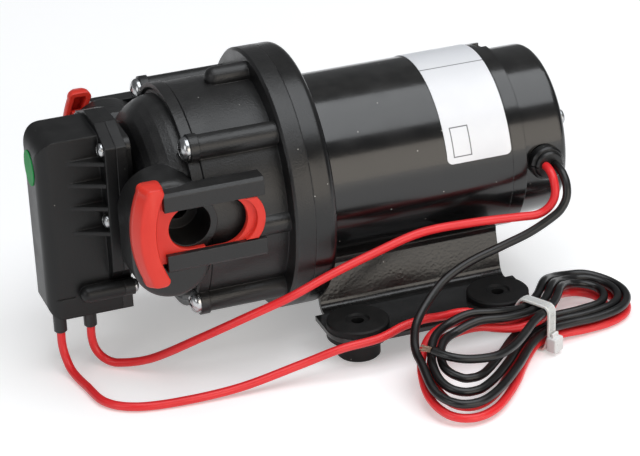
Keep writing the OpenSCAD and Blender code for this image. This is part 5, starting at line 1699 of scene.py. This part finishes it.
@dataclass
class Springs:
    """Coil springs of the brushes and the pressure switch, in millimetres."""

    brush_r: float = 1.9
    brush_wire: float = 0.28
    brush_turns: float = 6.0
    brush_seat: float = 19.8
    brush_len: float = 3.6
    brush_angle: float = math.radians(28.0)
    brush_sides: int = 8
    switch_sides: int = 10
    switch_wire: float = 0.55
    switch_turns: float = 5.5
    travel: float = 1.0

    def build(self) -> None:
        """Makes the springs of each body."""
        self._brush_springs()
        self._switch_spring()

    def _brush_springs(self) -> None:
        """Presses the two brushes to the commutator."""
        low, high = box_of("brush_springs")
        paths = []
        for way in (1, -1):
            out = Vector((0, -way * math.cos(self.brush_angle), way * math.sin(self.brush_angle)))
            first = Vector(((low.x + high.x) / 2, 0, AXIS_H)) + self.brush_seat * out
            coil = helix(first, out, X_AXIS, self.brush_r, self.brush_len, self.brush_turns)
            paths.append([p * MM for p in coil])
        mesh = grown(paths_mesh("brush_spring_paths", paths), RECIPES.wire, {
            "Wire Radius": self.brush_wire * MM, "Sides": self.brush_sides,
            "Finish": Finishes.steel.material()})
        place_piece(mesh, "brush_coils", Finishes.steel, Body.PUMP, "bright_steel", "brush_springs")

    def _switch_spring(self) -> None:
        """Holds the sensing plunger back."""
        low, high = box_of("switch_spring")
        middle = (low + high) / 2
        radius = (high.y - low.y) / 2 - self.switch_wire
        length = high.x - low.x - 2 * self.switch_wire
        first = Vector((low.x + self.switch_wire, middle.y, middle.z))
        path = helix(first, X_AXIS, Y_AXIS, radius, length, self.switch_turns)
        mesh = grown(paths_mesh("switch_spring_path", [[p * MM for p in path]]), RECIPES.wire, {
            "Wire Radius": self.switch_wire * MM, "Sides": self.switch_sides,
            "Finish": Finishes.steel.material()})
        piece = place_piece(mesh, "switch_coil", Finishes.steel, Body.PUMP, "bright_steel", "switch_spring")
        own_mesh(piece)


@dataclass
class Windings:
    """Wound ends of the armature's coils, in millimetres."""

    slots: int = 10
    layers: int = 9
    wire_r: float = 0.55
    span: float = math.radians(132.0)
    first_reach: float = 0.35
    more_reach: float = 0.6
    depth: float = 3.4
    inner_r: float = 8.0
    inner_more: float = 4.5
    layer_turn: float = 0.06
    rise: float = 1.6
    steps: int = 14
    sides: int = 6

    def build(self) -> None:
        """Winds each end from slot to slot round the shaft."""
        low, high = box_of("armature_windings")
        core_low, core_high = box_of("armature_core")
        out = (high.y - low.y) / 2 - self.wire_r
        paths = []
        for start, end in ((core_low.x, low.x), (core_high.x, high.x)):
            for slot in range(self.slots):
                for layer in range(self.layers):
                    paths.append(self._turn(start, end, out, 2 * math.pi * slot / self.slots, layer))
        mesh = grown(paths_mesh("winding_paths", paths), RECIPES.wire, {
            "Wire Radius": self.wire_r * MM, "Sides": self.sides, "Finish": Finishes.enamelled.material()})
        place_piece(mesh, "armature_coils", Finishes.enamelled, Body.ROTOR, "copper", "armature_windings")

    def _turn(self, start: float, end: float, out: float, angle: float, layer: int) -> list[Vector]:
        """One wire over the end of the core, in metres."""
        share = (layer + 0.5) / self.layers
        reach = start + (end - start) * (self.first_reach + self.more_reach * share)
        reach -= math.copysign(self.wire_r, end - start)
        outer = out - self.depth * (1 - share)
        inner = self.inner_r + self.inner_more * share
        made = []
        for k in range(self.steps + 1):
            t = k / self.steps
            bow = math.sin(math.pi * t)
            a = angle + self.layer_turn * layer + self.span * t
            r = outer - (outer - inner) * bow
            x = start + (reach - start) * min(1.0, self.rise * bow)
            made.append(Vector((x, -r * math.cos(a), AXIS_H + r * math.sin(a))) * MM)
        return made


class Dressing:
    """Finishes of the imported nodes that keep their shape."""

    def build(self) -> None:
        """Dresses every node."""
        dress(Finishes.bracket, "bracket")
        dress(Finishes.rubber, "front_left_foot", "front_right_foot", "rear_left_foot", "rear_right_foot")
        dress(Finishes.motor, "motor_can", "rear_bell")
        dress(Finishes.bell, "motor_front_bell")
        dress(Finishes.ferrite, "magnets", "brushes")
        dress(Finishes.steel, "front_bearing", "rear_bearing", "cam_bearing")
        dress(Finishes.inner, "brush_card", "wobble_plate", "microswitch")
        dress(Finishes.relief, "strain_relief")
        dress(Finishes.shaft, "motor_shaft", "wobble_cam")
        dress(Finishes.sheets, "armature_core")
        dress(Finishes.copper, "commutator")
        dress(Finishes.pale, "pistons", "valve_plate", "switch_plunger")
        dress(Finishes.head, "pump_body", "front_cover")
        dress(Finishes.seal, "diaphragm", "inlet_valves", "outlet_valve", "cover_seal", "switch_diaphragm")
        dress(Finishes.switch, "switch_base")
        dress(Finishes.cap, "switch_cap")
        dress(Finishes.green, "seal_dot")
        dress(Finishes.sleeve, "lead_sleeves")


def main() -> None:
    """Builds the studio and every part of the pump."""
    logging.basicConfig(level=logging.INFO, format="%(name)s: %(message)s")
    for kind in (Studio, Leads, Dressing, Fasteners, PortClips, RatingLabel, Springs, Windings):
        kind().build()


if __name__ == "__main__":
    main()
